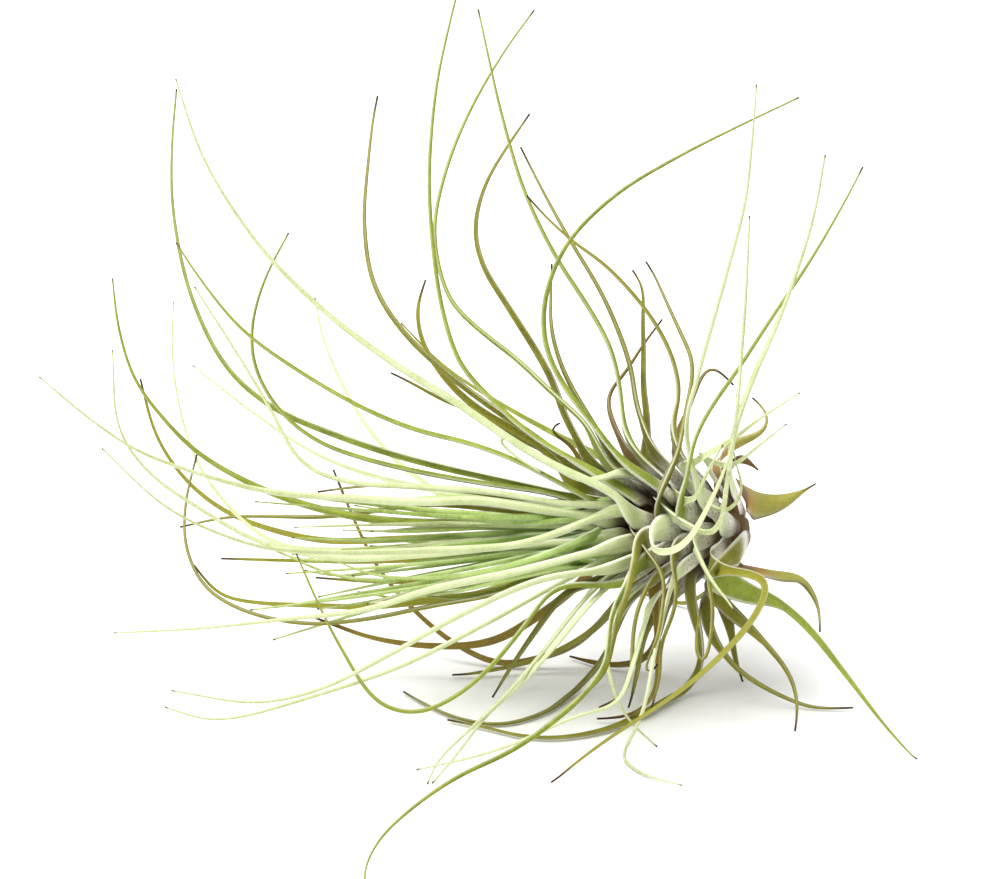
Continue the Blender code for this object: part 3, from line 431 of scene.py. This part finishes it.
def onBoard(across, up, out):
    lean = math.radians(boardValues["lean"])
    return np.array([
        across + boardValues["across"],
        up * math.sin(lean) - out * math.cos(lean) + boardValues["back"],
        up * math.cos(lean) + out * math.sin(lean) + boardValues["height"],
    ])


outward = onBoard(0, 0, 1) - onBoard(0, 0, 0)  # toward the viewer
tailAt = onBoard(*stemForm["tail"])
crownAt = onBoard(*stemForm["crown"])
stemLength = float(np.linalg.norm(crownAt - tailAt))
alongStem = (crownAt - tailAt) / stemLength
overStem = np.array([0.0, 0.0, 1.0]) - alongStem * alongStem[2]
overStem /= np.linalg.norm(overStem)
besideStem = np.cross(alongStem, overStem)


def smooth(low, high, x):
    t = np.clip((np.asarray(x, float) - low) / (high - low), 0, 1)
    return t * t * (3 - 2 * t)


def lengthsAlong(line):
    return np.concatenate([[0], np.cumsum(np.linalg.norm(np.diff(line, axis=0), axis=1))])


def radiusAt(station):
    share = smooth(stemForm["taperFrom"], stemLength, station)
    return stemForm["radius"] + (stemForm["tipRadius"] - stemForm["radius"]) * share


# where the seat's sheath starts, which way it heads, and which way is away from the stem
def seatLine(seat):
    station = seatForm["first"] + seat * seatForm["pitch"]
    angle = math.radians(seat * seatForm["turn"])
    away = overStem * math.cos(angle) + besideStem * math.sin(angle)
    slope = float(np.interp(station, seatForm["openAt"], seatForm["open"]))
    heading = (alongStem + away * slope) / math.hypot(1, slope)
    clear = float(radiusAt(station)) + stemForm["gap"] + seatForm["lift"]
    start = tailAt + alongStem * station + away * clear
    return start, heading, away


def nearestOn(line, point):
    start, heading, _ = line
    along = float(np.clip((point - start) @ heading, *seatForm["search"]))
    return along, float(np.linalg.norm(start + heading * along - point))


# gives each route a seat whose line passes near its first point, then swaps while that helps
def chooseSeats(routes, taken=()):
    lines = [seatLine(n) for n in range(seatForm["count"])]
    cost = np.array([[nearestOn(line, onBoard(*route[0]))[1] ** 2 for line in lines] for route in routes])
    free = [n for n in range(seatForm["count"]) if n not in set(taken)]
    least = 1e-9
    chosen = []
    for row in cost:
        best = min(free, key=lambda n: row[n])
        free.remove(best)
        chosen.append(best)
    for _ in range(seatForm["swaps"]):
        changed = False
        for i in range(len(chosen)):
            for f, seat in enumerate(free):
                if cost[i][seat] < cost[i][chosen[i]] - least:
                    free[f], chosen[i] = chosen[i], seat
                    changed = True
                    break
            for j in range(i):
                a, b = chosen[i], chosen[j]
                if cost[i][b] + cost[j][a] < cost[i][a] + cost[j][b] - least:
                    chosen[i], chosen[j] = b, a
                    changed = True
        if not changed:
            break
    return chosen


def evenSteps(line, step):
    length = lengthsAlong(line)
    count = max(6, int(round(length[-1] / step)) + 1)
    where = np.linspace(0, length[-1], count)
    return np.stack([np.interp(where, length, line[:, k]) for k in range(3)], axis=1)


# a centripetal Catmull-Rom curve through the points
def curveThrough(points):
    p = np.array(points, float)
    p = np.vstack([2 * p[0] - p[1], p, 2 * p[-1] - p[-2]])
    out = []
    for i in range(1, len(p) - 2):
        a, b, c, d = p[i - 1:i + 3]
        t0 = 0.0
        t1 = t0 + np.linalg.norm(b - a) ** 0.5
        t2 = t1 + np.linalg.norm(c - b) ** 0.5
        t3 = t2 + np.linalg.norm(d - c) ** 0.5
        for t in np.linspace(t1, t2, routeForm["between"], endpoint=False):
            ab = a * (t1 - t) / (t1 - t0) + b * (t - t0) / (t1 - t0)
            bc = b * (t2 - t) / (t2 - t1) + c * (t - t1) / (t2 - t1)
            cd = c * (t3 - t) / (t3 - t2) + d * (t - t2) / (t3 - t2)
            abc = ab * (t2 - t) / (t2 - t0) + bc * (t - t0) / (t2 - t0)
            bcd = bc * (t3 - t) / (t3 - t1) + cd * (t - t1) / (t3 - t1)
            out.append(abc * (t2 - t) / (t2 - t1) + bcd * (t - t1) / (t2 - t1))
    out.append(p[-2])
    return evenSteps(np.array(out), routeForm["step"])


def eased(line, times):
    line = line.copy()
    for _ in range(times):
        line[1:-1] = line[1:-1] * 0.5 + (line[:-2] + line[2:]) * 0.25
    return line


# the middle line of a leaf, and how far along it the sheath reaches
def leafLine(route, seat):
    line = seatLine(seat)
    start, heading, _ = line
    reach, _ = nearestOn(line, onBoard(*route[0]))
    shortest, longest = routeForm["straight"]
    reach = min(max(reach - routeForm["early"], shortest), longest)
    points = [start + heading * a for a in np.arange(0, reach + 0.01, reach / 3)]
    rest = [onBoard(*p) for p in route[1:]]
    while len(rest) > 2 and np.linalg.norm(rest[0] - points[-1]) < routeForm["skip"]:
        rest.pop(0)
    return eased(curveThrough(points + rest), routeForm["easing"]), reach


# along the line: its length so far, the leaf's half width, the distance from the stem's axis,
# and how much of a sheath it still is
def widths(line, reach, blade, factor):
    t = lengthsAlong(line)
    total = t[-1]
    rel = line - tailAt
    station = rel @ alongStem
    radius = np.linalg.norm(rel - station[:, None] * alongStem, axis=1)
    sheath = radius * math.sin(math.radians(sheathForm["halfAngle"]))
    ends = min(max(reach + sheathForm["past"], sheathForm["least"]), sheathForm["share"] * total)
    fade = 1 - smooth(min(sheathForm["peakAt"], 0.3 * ends), ends, t)
    slim = bladeForm["slim"]
    body = blade / 2 * (1 - smooth(bladeForm["slimFrom"] * total, total, t) * slim)
    body = body * (1 - (t / total) ** 3 * slim)
    half = body + np.maximum(np.minimum(sheath, sheathForm["widest"]) * min(factor, 1.0) - body, 0) * fade
    close = smooth(0, min(bladeForm["closeOver"], bladeForm["closeShare"] * total), total - t)
    end = bladeForm["tipWidth"] / 2
    return t, end + (half - end) * close, radius, fade


# moves the lines after the first held ones in depth until they clear the others
def settle(lines, reaches, halves, held=0):
    owner = np.concatenate([np.full(len(line), i) for i, line in enumerate(lines)])
    points = np.vstack(lines)
    half = np.concatenate(halves)
    free = np.concatenate([
        (smooth(r - 1, r + sheathForm["past"], np.arange(len(line)) * 1.0)) * (i >= held)
        for i, (line, r) in enumerate(zip(lines, reaches))
    ])
    starts = np.concatenate([[0], np.cumsum([len(line) for line in lines])])
    flat = points - np.outer(points @ outward, outward)
    reach = np.where(free < 0.5, settleForm["sheathHalf"], half + settleForm["margin"])
    pairs = []
    block = settleForm["block"]
    for a in range(0, len(points), block):
        gap = np.linalg.norm(flat[a:a + block, None] - flat[None], axis=2)
        need = reach[a:a + block, None] + reach[None] + settleForm["gap"]
        i, j = np.nonzero((gap < need) & (owner[a:a + block, None] < owner[None]))
        i = i + a
        keep = (free[i] + free[j]) > 0
        pairs.append(np.stack([i[keep], j[keep]], axis=1))
    i, j = np.vstack(pairs).T
    gap = np.linalg.norm(flat[i] - flat[j], axis=1)
    need = reach[i] + reach[j] + settleForm["gap"]
    apart = np.sqrt(np.maximum(need ** 2 - gap ** 2, 0))
    depth = points @ outward
    window = settleForm["window"]
    kernel = np.exp(-0.5 * (np.arange(-window, window + 1) / settleForm["spread"]) ** 2)
    kernel /= kernel.sum()
    for _ in range(settleForm["rounds"]):
        delta = depth[j] - depth[i]
        side = np.where(delta == 0, 1.0, np.sign(delta))
        short = apart - np.abs(delta)
        hit = short > 0
        if not hit.any():
            break
        share = free[i[hit]] / (free[i[hit]] + free[j[hit]])
        push = np.zeros(len(points))
        weight = np.zeros(len(points))
        for index, part in ((i[hit], -share), (j[hit], 1 - share)):
            np.add.at(push, index, side[hit] * part * short[hit])
            np.add.at(weight, index, 1.0)
        push = np.where(weight > 0, push / np.maximum(weight, 1), 0)
        for a, b in zip(starts, starts[1:]):
            spread = np.convolve(np.pad(push[a:b], window, mode="edge"), kernel, mode="valid")
            peak = np.abs(push[a:b]).max()
            top = np.abs(spread).max()
            if top > 0:
                depth[a:b] += spread * min(peak / top, settleForm["gain"]) * free[a:b] * settleForm["rate"]
    moved = flat + np.outer(depth, outward)
    moved[:, 2] = np.maximum(moved[:, 2], settleForm["floorGap"])
    return [moved[a:b] for a, b in zip(starts, starts[1:])]


# the leaf's sideways and outer directions all along its line, carried on without twist
def framesAlong(line, away):
    tangent = np.gradient(line, axis=0)
    tangent /= np.linalg.norm(tangent, axis=1)[:, None]
    outer = away - tangent[0] * (away @ tangent[0])
    outers = []
    for t in tangent:
        outer = outer - t * (outer @ t)
        outer /= np.linalg.norm(outer)
        outers.append(outer)
    outers = np.array(outers)
    return np.cross(tangent, outers), outers


def grownLines(table, seats):
    lines, reaches, halves = [], [], []
    for (_, blade, factor, _, route), seat in zip(table, seats):
        line, reach = leafLine(route, seat)
        lines.append(line)
        reaches.append(reach)
        halves.append(widths(line, reach, blade, factor)[1])
    return lines, reaches, halves


# Colours are linear. silver is how much of the fur covers the blade, tip how long its dry end is,
# thin how much finer the blade gets, and felt replaces the pale felt of the sheath.
leafLooks = {
    "green": {"blade": (0.15, 0.19, 0.01), "light": (0.34, 0.4, 0.06),
             "silver": 0.07, "tip": 1.4, "thin": 0.4},
    "fresh": {"blade": (0.2, 0.33, 0.03), "light": (0.56, 0.72, 0.27),
             "silver": 0.2, "tip": 0.5, "thin": 0.5},
    "olive": {"blade": (0.12, 0.115, 0.005), "light": (0.3, 0.29, 0.03),
             "silver": 0.04, "tip": 4.0, "thin": 0.25},
    "pale": {"blade": (0.46, 0.54, 0.22), "light": (0.72, 0.78, 0.48),
             "silver": 0.35, "tip": 0.3, "thin": 0.5},
    "dry": {"blade": (0.12, 0.06, 0.006), "light": (0.28, 0.2, 0.03),
             "silver": 0.05, "tip": 7.0, "thin": 0.2},
    "husk": {"blade": (0.21, 0.2, 0.015), "light": (0.42, 0.4, 0.09),
             "silver": 0.08, "tip": 2.0, "thin": 0.4, "felt": (0.46, 0.25, 0.03)},
    "chip": {"blade": (0.1, 0.02, 0.008), "light": (0.2, 0.06, 0.02),
             "silver": 0.02, "tip": 1.0, "thin": 0.2},
}
sheathLook = {"felt": (0.86, 0.85, 0.74), "shade": (0.27, 0.25, 0.14), "foot": (0.13, 0.06, 0.015),
              "margin": (0.93, 0.93, 0.84), "old": (0.22, 0.2, 0.015), "footShare": 0.85,
              "footEnds": (1.5, 5.0), "speckle": (0.46, 0.64, 0.75)}
# the silvery scales on every blade, their grain, the veins along it and the dry brown of its end
coatLook = {"mottleSize": 260.0, "grainSize": 2200.0, "mottle": (0.25, 0.8, 0.8), "fur": (0.42, 0.62),
            "silver": (0.72, 0.74, 0.62), "toneShare": 0.6, "oldShare": 0.4, "marginShare": 0.85,
            "tip": (0.055, 0.028, 0.008), "roughness": 0.62, "sheen": 0.08, "sheenRoughness": 0.5,
            "specular": 0.25, "bump": 0.00012, "veinStrength": 0.35, "grainStrength": 0.9, "veins": 9.0}


def addNode(tree, kind, where, **values):
    node = tree.nodes.new(kind)
    node.location = where
    for key, value in values.items():
        if key in node.inputs:
            node.inputs[key].default_value = value
        else:
            setattr(node, key, value)
    return node


def attributeNode(tree, name, where):
    return addNode(tree, "ShaderNodeAttribute", where, attribute_name=name).outputs["Fac"]


def plug(tree, socket, value):
    if isinstance(value, tuple):
        socket.default_value = (*value, 1)
    elif isinstance(value, float):
        socket.default_value = value
    else:
        tree.links.new(value, socket)


def blended(tree, share, first, second, where):
    node = addNode(tree, "ShaderNodeMix", where, data_type="RGBA")
    for index, value in ((0, share), (6, first), (7, second)):
        plug(tree, node.inputs[index], value)
    return node.outputs[2]


def ranged(tree, value, low, high, where, top=1.0):
    node = addNode(tree, "ShaderNodeMapRange", where, interpolation_type="SMOOTHSTEP")
    for index, number in enumerate((value, low, high, 0.0, top)):
        plug(tree, node.inputs[index], number)
    return node.outputs[0]


def multiplied(tree, first, second, where):
    node = addNode(tree, "ShaderNodeMath", where, operation="MULTIPLY")
    for socket, value in zip(node.inputs, (first, second)):
        plug(tree, socket, value)
    return node.outputs[0]


def newMaterial(name):
    material = bpy.data.materials.new(name)
    material.use_nodes = True
    return material, material.node_tree, material.node_tree.nodes["Principled BSDF"]


def leafMaterial(name, look):
    material, tree, shader = newMaterial(name)
    coords = addNode(tree, "ShaderNodeTexCoord", (-1500, 0)).outputs["Object"]
    tone = attributeNode(tree, "tone", (-1500, -200))
    edge = attributeNode(tree, "edge", (-1500, -350))
    sheath = attributeNode(tree, "sheath", (-1500, -500))
    foot = attributeNode(tree, "foot", (-1500, -650))
    tip = attributeNode(tree, "tip", (-1500, -800))
    vein = attributeNode(tree, "vein", (-1500, -950))
    run = attributeNode(tree, "run", (-1500, -1100))
    mottle = addNode(tree, "ShaderNodeTexNoise", (-1250, 200), Scale=coatLook["mottleSize"], Detail=4.0,
                     Roughness=0.6)
    grain = addNode(tree, "ShaderNodeTexNoise", (-1250, 0), Scale=coatLook["grainSize"], Detail=4.0,
                    Roughness=0.7)
    for node in (mottle, grain):
        tree.links.new(coords, node.inputs["Vector"])

    # the blade: two tones, yellower toward its end, silver fur over it and a pale margin
    low, high, top = coatLook["mottle"]
    patch = ranged(tree, mottle.outputs["Fac"], low, high, (-1000, 200), top)
    blade = blended(tree, patch, look["blade"], look["light"], (-800, 200))
    toneShare = multiplied(tree, tone, coatLook["toneShare"], (-1000, 350))
    toned = blended(tree, toneShare, blade, look["light"], (-650, 250))
    oldShare = multiplied(tree, run, coatLook["oldShare"], (-800, 450))
    aged = blended(tree, oldShare, toned, sheathLook["old"], (-580, 400))
    fur = ranged(tree, grain.outputs["Fac"], *coatLook["fur"], (-1000, 0), look["silver"])
    furred = blended(tree, fur, aged, coatLook["silver"], (-500, 200))
    marginShare = multiplied(tree, edge, coatLook["marginShare"], (-800, -100))
    lined = blended(tree, marginShare, furred, sheathLook["margin"], (-350, 200))

    # the sheath: pale speckled felt, brown at its foot
    low, high, top = sheathLook["speckle"]
    speckle = ranged(tree, grain.outputs["Fac"], low, high, (-1000, -150), top)
    felt = blended(tree, speckle, look.get("felt", sheathLook["felt"]), sheathLook["shade"], (-650, -50))
    feltLined = blended(tree, edge, felt, sheathLook["margin"], (-500, -50))
    based = blended(tree, sheath, lined, feltLined, (-200, 150))
    footed = blended(tree, foot, based, sheathLook["foot"], (-50, 150))
    ended = blended(tree, tip, footed, coatLook["tip"], (100, 150))

    tree.links.new(ended, shader.inputs["Base Color"])
    shader.inputs["Roughness"].default_value = coatLook["roughness"]
    shader.inputs["Sheen Weight"].default_value = coatLook["sheen"]
    shader.inputs["Sheen Roughness"].default_value = coatLook["sheenRoughness"]
    shader.inputs["Specular IOR Level"].default_value = coatLook["specular"]
    ridges = addNode(tree, "ShaderNodeBump", (-200, -300), Strength=coatLook["veinStrength"],
                     Distance=coatLook["bump"])
    tree.links.new(vein, ridges.inputs["Height"])
    rough = addNode(tree, "ShaderNodeBump", (0, -300), Strength=coatLook["grainStrength"],
                    Distance=coatLook["bump"])
    tree.links.new(grain.outputs["Fac"], rough.inputs["Height"])
    tree.links.new(ridges.outputs[0], rough.inputs["Normal"])
    tree.links.new(rough.outputs[0], shader.inputs["Normal"])
    return material


leafMaterials = {name: leafMaterial("leaf " + name, look) for name, look in leafLooks.items()}
print("stage: materials are made")


# rows rings of points, joined into a closed tube
def tubeFaces(ring, rows):
    faces = []
    for i in range(rows - 1):
        for k in range(ring):
            a, b = i * ring + k, i * ring + (k + 1) % ring
            faces.append((a, b, b + ring, a + ring))
    faces.append(tuple(range(ring))[::-1])
    faces.append(tuple(range((rows - 1) * ring, rows * ring)))
    return faces


def meshPiece(name, points, faces, material):
    mesh = bpy.data.meshes.new(name)
    mesh.from_pydata([tuple(p) for p in points], [], faces)
    mesh.polygons.foreach_set("use_smooth", [len(f) == 4 for f in faces])
    mesh.materials.append(material)
    piece = bpy.data.objects.new(name, mesh)
    bpy.context.scene.collection.objects.link(piece)
    return piece


# across is the number of faces over the width, and step the length of a row. broad is the half width
# of the triangle at a leaf's base and the length over which it narrows, for each group of leaves.
leafForm = {"across": 8, "step": 0.8, "easing": 2, "channel": 0.55, "edgeThin": 0.7, "margin": (0.72, 0.95),
            "marginFades": (0.1, 0.5), "marginLoss": 0.8, "aging": (0.2, 1.0),
            "broad": {"upper": (3.3, 20), "tail": (3.5, 20), "lower": (3.0, 18), "front": (2.4, 15),
                      "fan": (2.0, 14), "fine": (1.7, 12), "far": (2.6, 18)}}
leafBroad = {"tail_leaf_01": (5.2, 22), "tail_leaf_02": (4.4, 22), "upper_leaf_07": (3.9, 22),
             "upper_leaf_09": (3.8, 22)}
leafDroop = {"tail_leaf_01": 3.2}
leafRepaint = {"tail_leaf_01": "husk", "tail_leaf_02": "husk", "upper_leaf_01": "husk",
               "tail_leaf_07": "chip"}
# where the felt fades out, from the end of the sheath
feltUsual = (-3.5, 0.0)
feltEnd = {"husk": (1.0, 7.0)}


def leafPiece(name, line, away, blade, factor, reach, colour, tone):
    t, half, radius, fade = widths(line, reach, blade, factor)
    side, outer = framesAlong(line, away)
    total = t[-1]
    look = leafLooks[colour]
    half = half * (1 - look["thin"] * smooth(bladeForm["slimFrom"] * total, total, t))
    broad, over = leafBroad.get(name, leafForm["broad"][name.split("_")[0]])
    over = min(over, 0.85 * total)
    wedge = broad * np.clip(1 - (t - 2) / over, 0, 1) ** 1.15 * smooth(0, 4, t)
    half = np.maximum(half, np.minimum(wedge, 0.5 * radius))
    count = leafForm["across"]
    channel = leafForm["channel"]
    feltFrom, feltTo = feltEnd.get(colour, feltUsual)
    tipLength = min(look["tip"] * (0.6 + 0.8 * tone), 0.3 * total)
    around = [(-1 + 2 * k / count, 1) for k in range(count + 1)]
    around += [(1 - 2 * k / count, -1) for k in range(1, count)]
    fadeFrom, fadeTo = leafForm["marginFades"]
    positions = []
    data = {key: [] for key in ("tone", "edge", "sheath", "foot", "tip", "vein", "run")}
    for i in range(len(line)):
        h = half[i]
        roundStem = radius[i] - math.sqrt(max(radius[i] ** 2 - h * h, 0.01))
        bend = h * channel + (min(roundStem, h * channel) - h * channel) * fade[i]
        thick = bladeForm["thick"] + (sheathForm["thick"] - bladeForm["thick"]) * fade[i]
        thick += (bladeForm["tipThick"] - thick) * float(smooth(0.7 * total, total, t[i]))
        marginLeft = 1 - leafForm["marginLoss"] * smooth(fadeFrom, fadeTo, t[i] / total)
        alongRow = {
            "tone": tone,
            "sheath": float(1 - smooth(reach + feltFrom, reach + feltTo, t[i])),
            "run": float(smooth(*leafForm["aging"], t[i] / total)),
            "foot": float(1 - smooth(*sheathLook["footEnds"], t[i])) * sheathLook["footShare"],
            "tip": float(1 - smooth(0.15 * tipLength, tipLength, total - t[i])),
        }
        for across, face in around:
            share = across * across
            rise = face * thick / 2 * (1 - leafForm["edgeThin"] * share) if abs(across) < 1 else 0.0
            positions.append(line[i] + side[i] * (across * h) + outer[i] * (rise - bend * share))
            for key, value in alongRow.items():
                data[key].append(value)
            data["edge"].append(float(smooth(*leafForm["margin"], abs(across)) * marginLeft))
            data["vein"].append(0.5 + 0.5 * math.cos(across * coatLook["veins"]))
    faces = tubeFaces(len(around), len(line))
    points = np.array(positions) / 1000
    volume = sum(float(points[f[0]] @ np.cross(points[f[1]], points[f[2]])) +
                 float(points[f[0]] @ np.cross(points[f[2]], points[f[3]])) for f in faces[:-2])
    if volume < 0:  # the rings run the other way, so the faces would look inward
        faces = [f[::-1] for f in faces]
    piece = meshPiece(name + "_look", points, faces, leafMaterials[colour])
    for key, values in data.items():
        piece.data.attributes.new(key, "FLOAT", "POINT").data.foreach_set("value", values)
    return piece


# young leaves that fill the heart of the fan, on the half seats between the others
youngFan = {"count": 20, "start": (-12, -2, 4), "spread": (14, 12), "reach": (32, 60), "rise": (-0.26, 0.1),
            "out": (-0.05, 0.28), "bow": (-4, 4), "width": (1.1, 1.6), "factor": 0.7, "paleEvery": 4,
            "firstSeat": 61.5, "seats": 38, "at": (0, 0.2, 0.45, 0.7, 1)}
rng = np.random.default_rng(7)


def youngLeaves():
    table = []
    across, up, near = youngFan["start"]
    spreadUp, spreadOut = youngFan["spread"]
    for n in range(youngFan["count"]):
        drawn = [float(rng.uniform(*youngFan[key])) for key in ("reach", "rise", "out", "bow")]
        reach, rise, out, bow = drawn
        route = tuple((
            across - reach * u,
            up + spreadUp * rise * (1 - u) + reach * rise * u + bow * u * u,
            near + spreadOut * out * (1 - u) + reach * out * u,
        ) for u in youngFan["at"])
        width = float(rng.uniform(*youngFan["width"]))
        colour = "fresh" if n % youngFan["paleEvery"] else "pale"
        table.append((f"fine_grown_{n + 1:02d}", width, youngFan["factor"], colour, route))
    free = [youngFan["firstSeat"] + k for k in range(youngFan["seats"])]
    chosen = []
    for leaf in table:
        best = min(free, key=lambda seat: nearestOn(seatLine(seat), onBoard(*leaf[4][0]))[1])
        free.remove(best)
        chosen.append(best)
    return tuple(table), chosen


seats = chooseSeats([leaf[4] for leaf in leaves])
lines, reaches, halves = grownLines(leaves, seats)
lines = settle(lines, reaches, halves)
young, youngSeats = youngLeaves()
moreLeaves = fineLeaves + young
moreSeats = chooseSeats([leaf[4] for leaf in fineLeaves], seats) + youngSeats
moreLines, moreReaches, moreHalves = grownLines(moreLeaves, moreSeats)
allLines = settle(lines + moreLines, reaches + moreReaches, halves + moreHalves, held=len(lines))
print("stage: leaf lines are drawn,", len(allLines), "leaves")

for (name, blade, factor, colour, _), seat, line, reach in zip(
        leaves + moreLeaves, seats + moreSeats, allLines, reaches + moreReaches):
    line = evenSteps(eased(line, leafForm["easing"]), leafForm["step"])
    line[:, 2] -= leafDroop.get(name, 0) * np.sin(np.linspace(0, math.pi, len(line)))
    away = seatLine(seat)[2]
    look = leafRepaint.get(name, colour)
    piece = leafPiece(name, line, away, blade, factor, reach, look, float(rng.uniform(0, 1)))
    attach(piece, "root")
    if name.startswith("fine"):
        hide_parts("stem")
    else:
        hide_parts(name)
print("stage: leaves are in")

# the short woody stem, with the scars of old leaves round it
stemLook = {"sides": 40, "rows": 60, "scarDepth": 0.25, "overhang": 0.2, "endShare": 0.45, "endOver": 1.6,
            "dark": (0.06, 0.03, 0.012), "light": (0.3, 0.19, 0.09), "barkSize": 900.0,
            "bumpStrength": 0.8, "bump": 0.0003, "roughness": 0.85}


def stemMaterial():
    material, tree, shader = newMaterial("stem")
    coords = addNode(tree, "ShaderNodeTexCoord", (-900, 0)).outputs["Object"]
    bark = addNode(tree, "ShaderNodeTexNoise", (-700, 0), Scale=stemLook["barkSize"], Detail=6.0)
    tree.links.new(coords, bark.inputs["Vector"])
    colour = blended(tree, bark.outputs["Fac"], stemLook["dark"], stemLook["light"], (-400, 0))
    tree.links.new(colour, shader.inputs["Base Color"])
    bump = addNode(tree, "ShaderNodeBump", (-300, -250), Strength=stemLook["bumpStrength"],
                   Distance=stemLook["bump"])
    tree.links.new(bark.outputs["Fac"], bump.inputs["Height"])
    tree.links.new(bump.outputs[0], shader.inputs["Normal"])
    shader.inputs["Roughness"].default_value = stemLook["roughness"]
    return material


def stemPiece():
    positions = []
    sides, rows, overhang, end = (stemLook[key] for key in ("sides", "rows", "overhang", "endShare"))
    for r in range(rows + 1):
        station = -overhang + r / rows * (stemLength + overhang)
        share = min(1.0, end + (1 - end) * float(smooth(-overhang, stemLook["endOver"], station)))
        share *= 1 - 0.2 * float(smooth(stemLength - 1.0, stemLength, station))
        for k in range(sides):
            angle = 2 * math.pi * k / sides
            scar = stemLook["scarDepth"] * (0.5 + 0.5 * math.sin(angle * 5 + station * 5.5))
            radius = float(radiusAt(station)) * share - scar * share
            away = overStem * math.cos(angle) + besideStem * math.sin(angle)
            positions.append((tailAt + alongStem * station + away * radius) / 1000)
    return meshPiece("stem_look", positions, tubeFaces(sides, rows + 1), stemMaterial())


stem = stemPiece()
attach(stem, "root")
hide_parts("stem")
print("stage: stem is in")

# pale floor, soft light from all round and a soft lamp above
floorValues = {"size": 6.0, "below": 0.0002, "colour": (0.93, 0.93, 0.925), "roughness": 0.55}
lightValues = {"sky": 0.58, "lampPower": 46.0, "lampSize": 1.6, "lampAt": (-0.6, -0.5, 1.7)}

bpy.ops.mesh.primitive_plane_add(size=floorValues["size"], location=(0, 0, -floorValues["below"]))
floor = bpy.context.object
floor.name = "floor"
floorMaterial, _, floorShader = newMaterial("floor")
floorShader.inputs["Base Color"].default_value = (*floorValues["colour"], 1)
floorShader.inputs["Roughness"].default_value = floorValues["roughness"]
floor.data.materials.append(floorMaterial)

world = bpy.data.worlds.new("soft white")
bpy.context.scene.world = world
world.use_nodes = True
sky = world.node_tree.nodes["Background"]
sky.inputs["Color"].default_value = (1, 1, 1, 1)
sky.inputs["Strength"].default_value = lightValues["sky"]

lampData = bpy.data.lights.new("lamp", "AREA")
lampData.energy = lightValues["lampPower"]
lampData.size = lightValues["lampSize"]
lamp = bpy.data.objects.new("lamp", lampData)
lamp.location = lightValues["lampAt"]
lamp.rotation_euler = (-Vector(lightValues["lampAt"])).to_track_quat("-Z", "Y").to_euler()
bpy.context.scene.collection.objects.link(lamp)

# a long lens, square to the board and a long way off
cameraValues = {"lens": 500.0, "sensor": 36.0, "distance": 2.222, "aim": (-28.8, 12.88, 0.0), "clipEnd": 20}
cameraData = bpy.data.cameras.new("camera")
cameraData.lens = cameraValues["lens"]
cameraData.sensor_width = cameraValues["sensor"]
cameraData.clip_end = cameraValues["clipEnd"]
camera = bpy.data.objects.new("camera", cameraData)
camera.location = Vector(onBoard(*cameraValues["aim"]) / 1000) + Vector(outward) * cameraValues["distance"]
camera.rotation_euler = (-Vector(outward)).to_track_quat("-Z", "Y").to_euler()
bpy.context.scene.collection.objects.link(camera)
bpy.context.scene.camera = camera
bpy.context.scene.view_settings.view_transform = "Standard"
bpy.context.scene.view_settings.look = "Medium High Contrast"
print("stage: floor, light and camera are set")
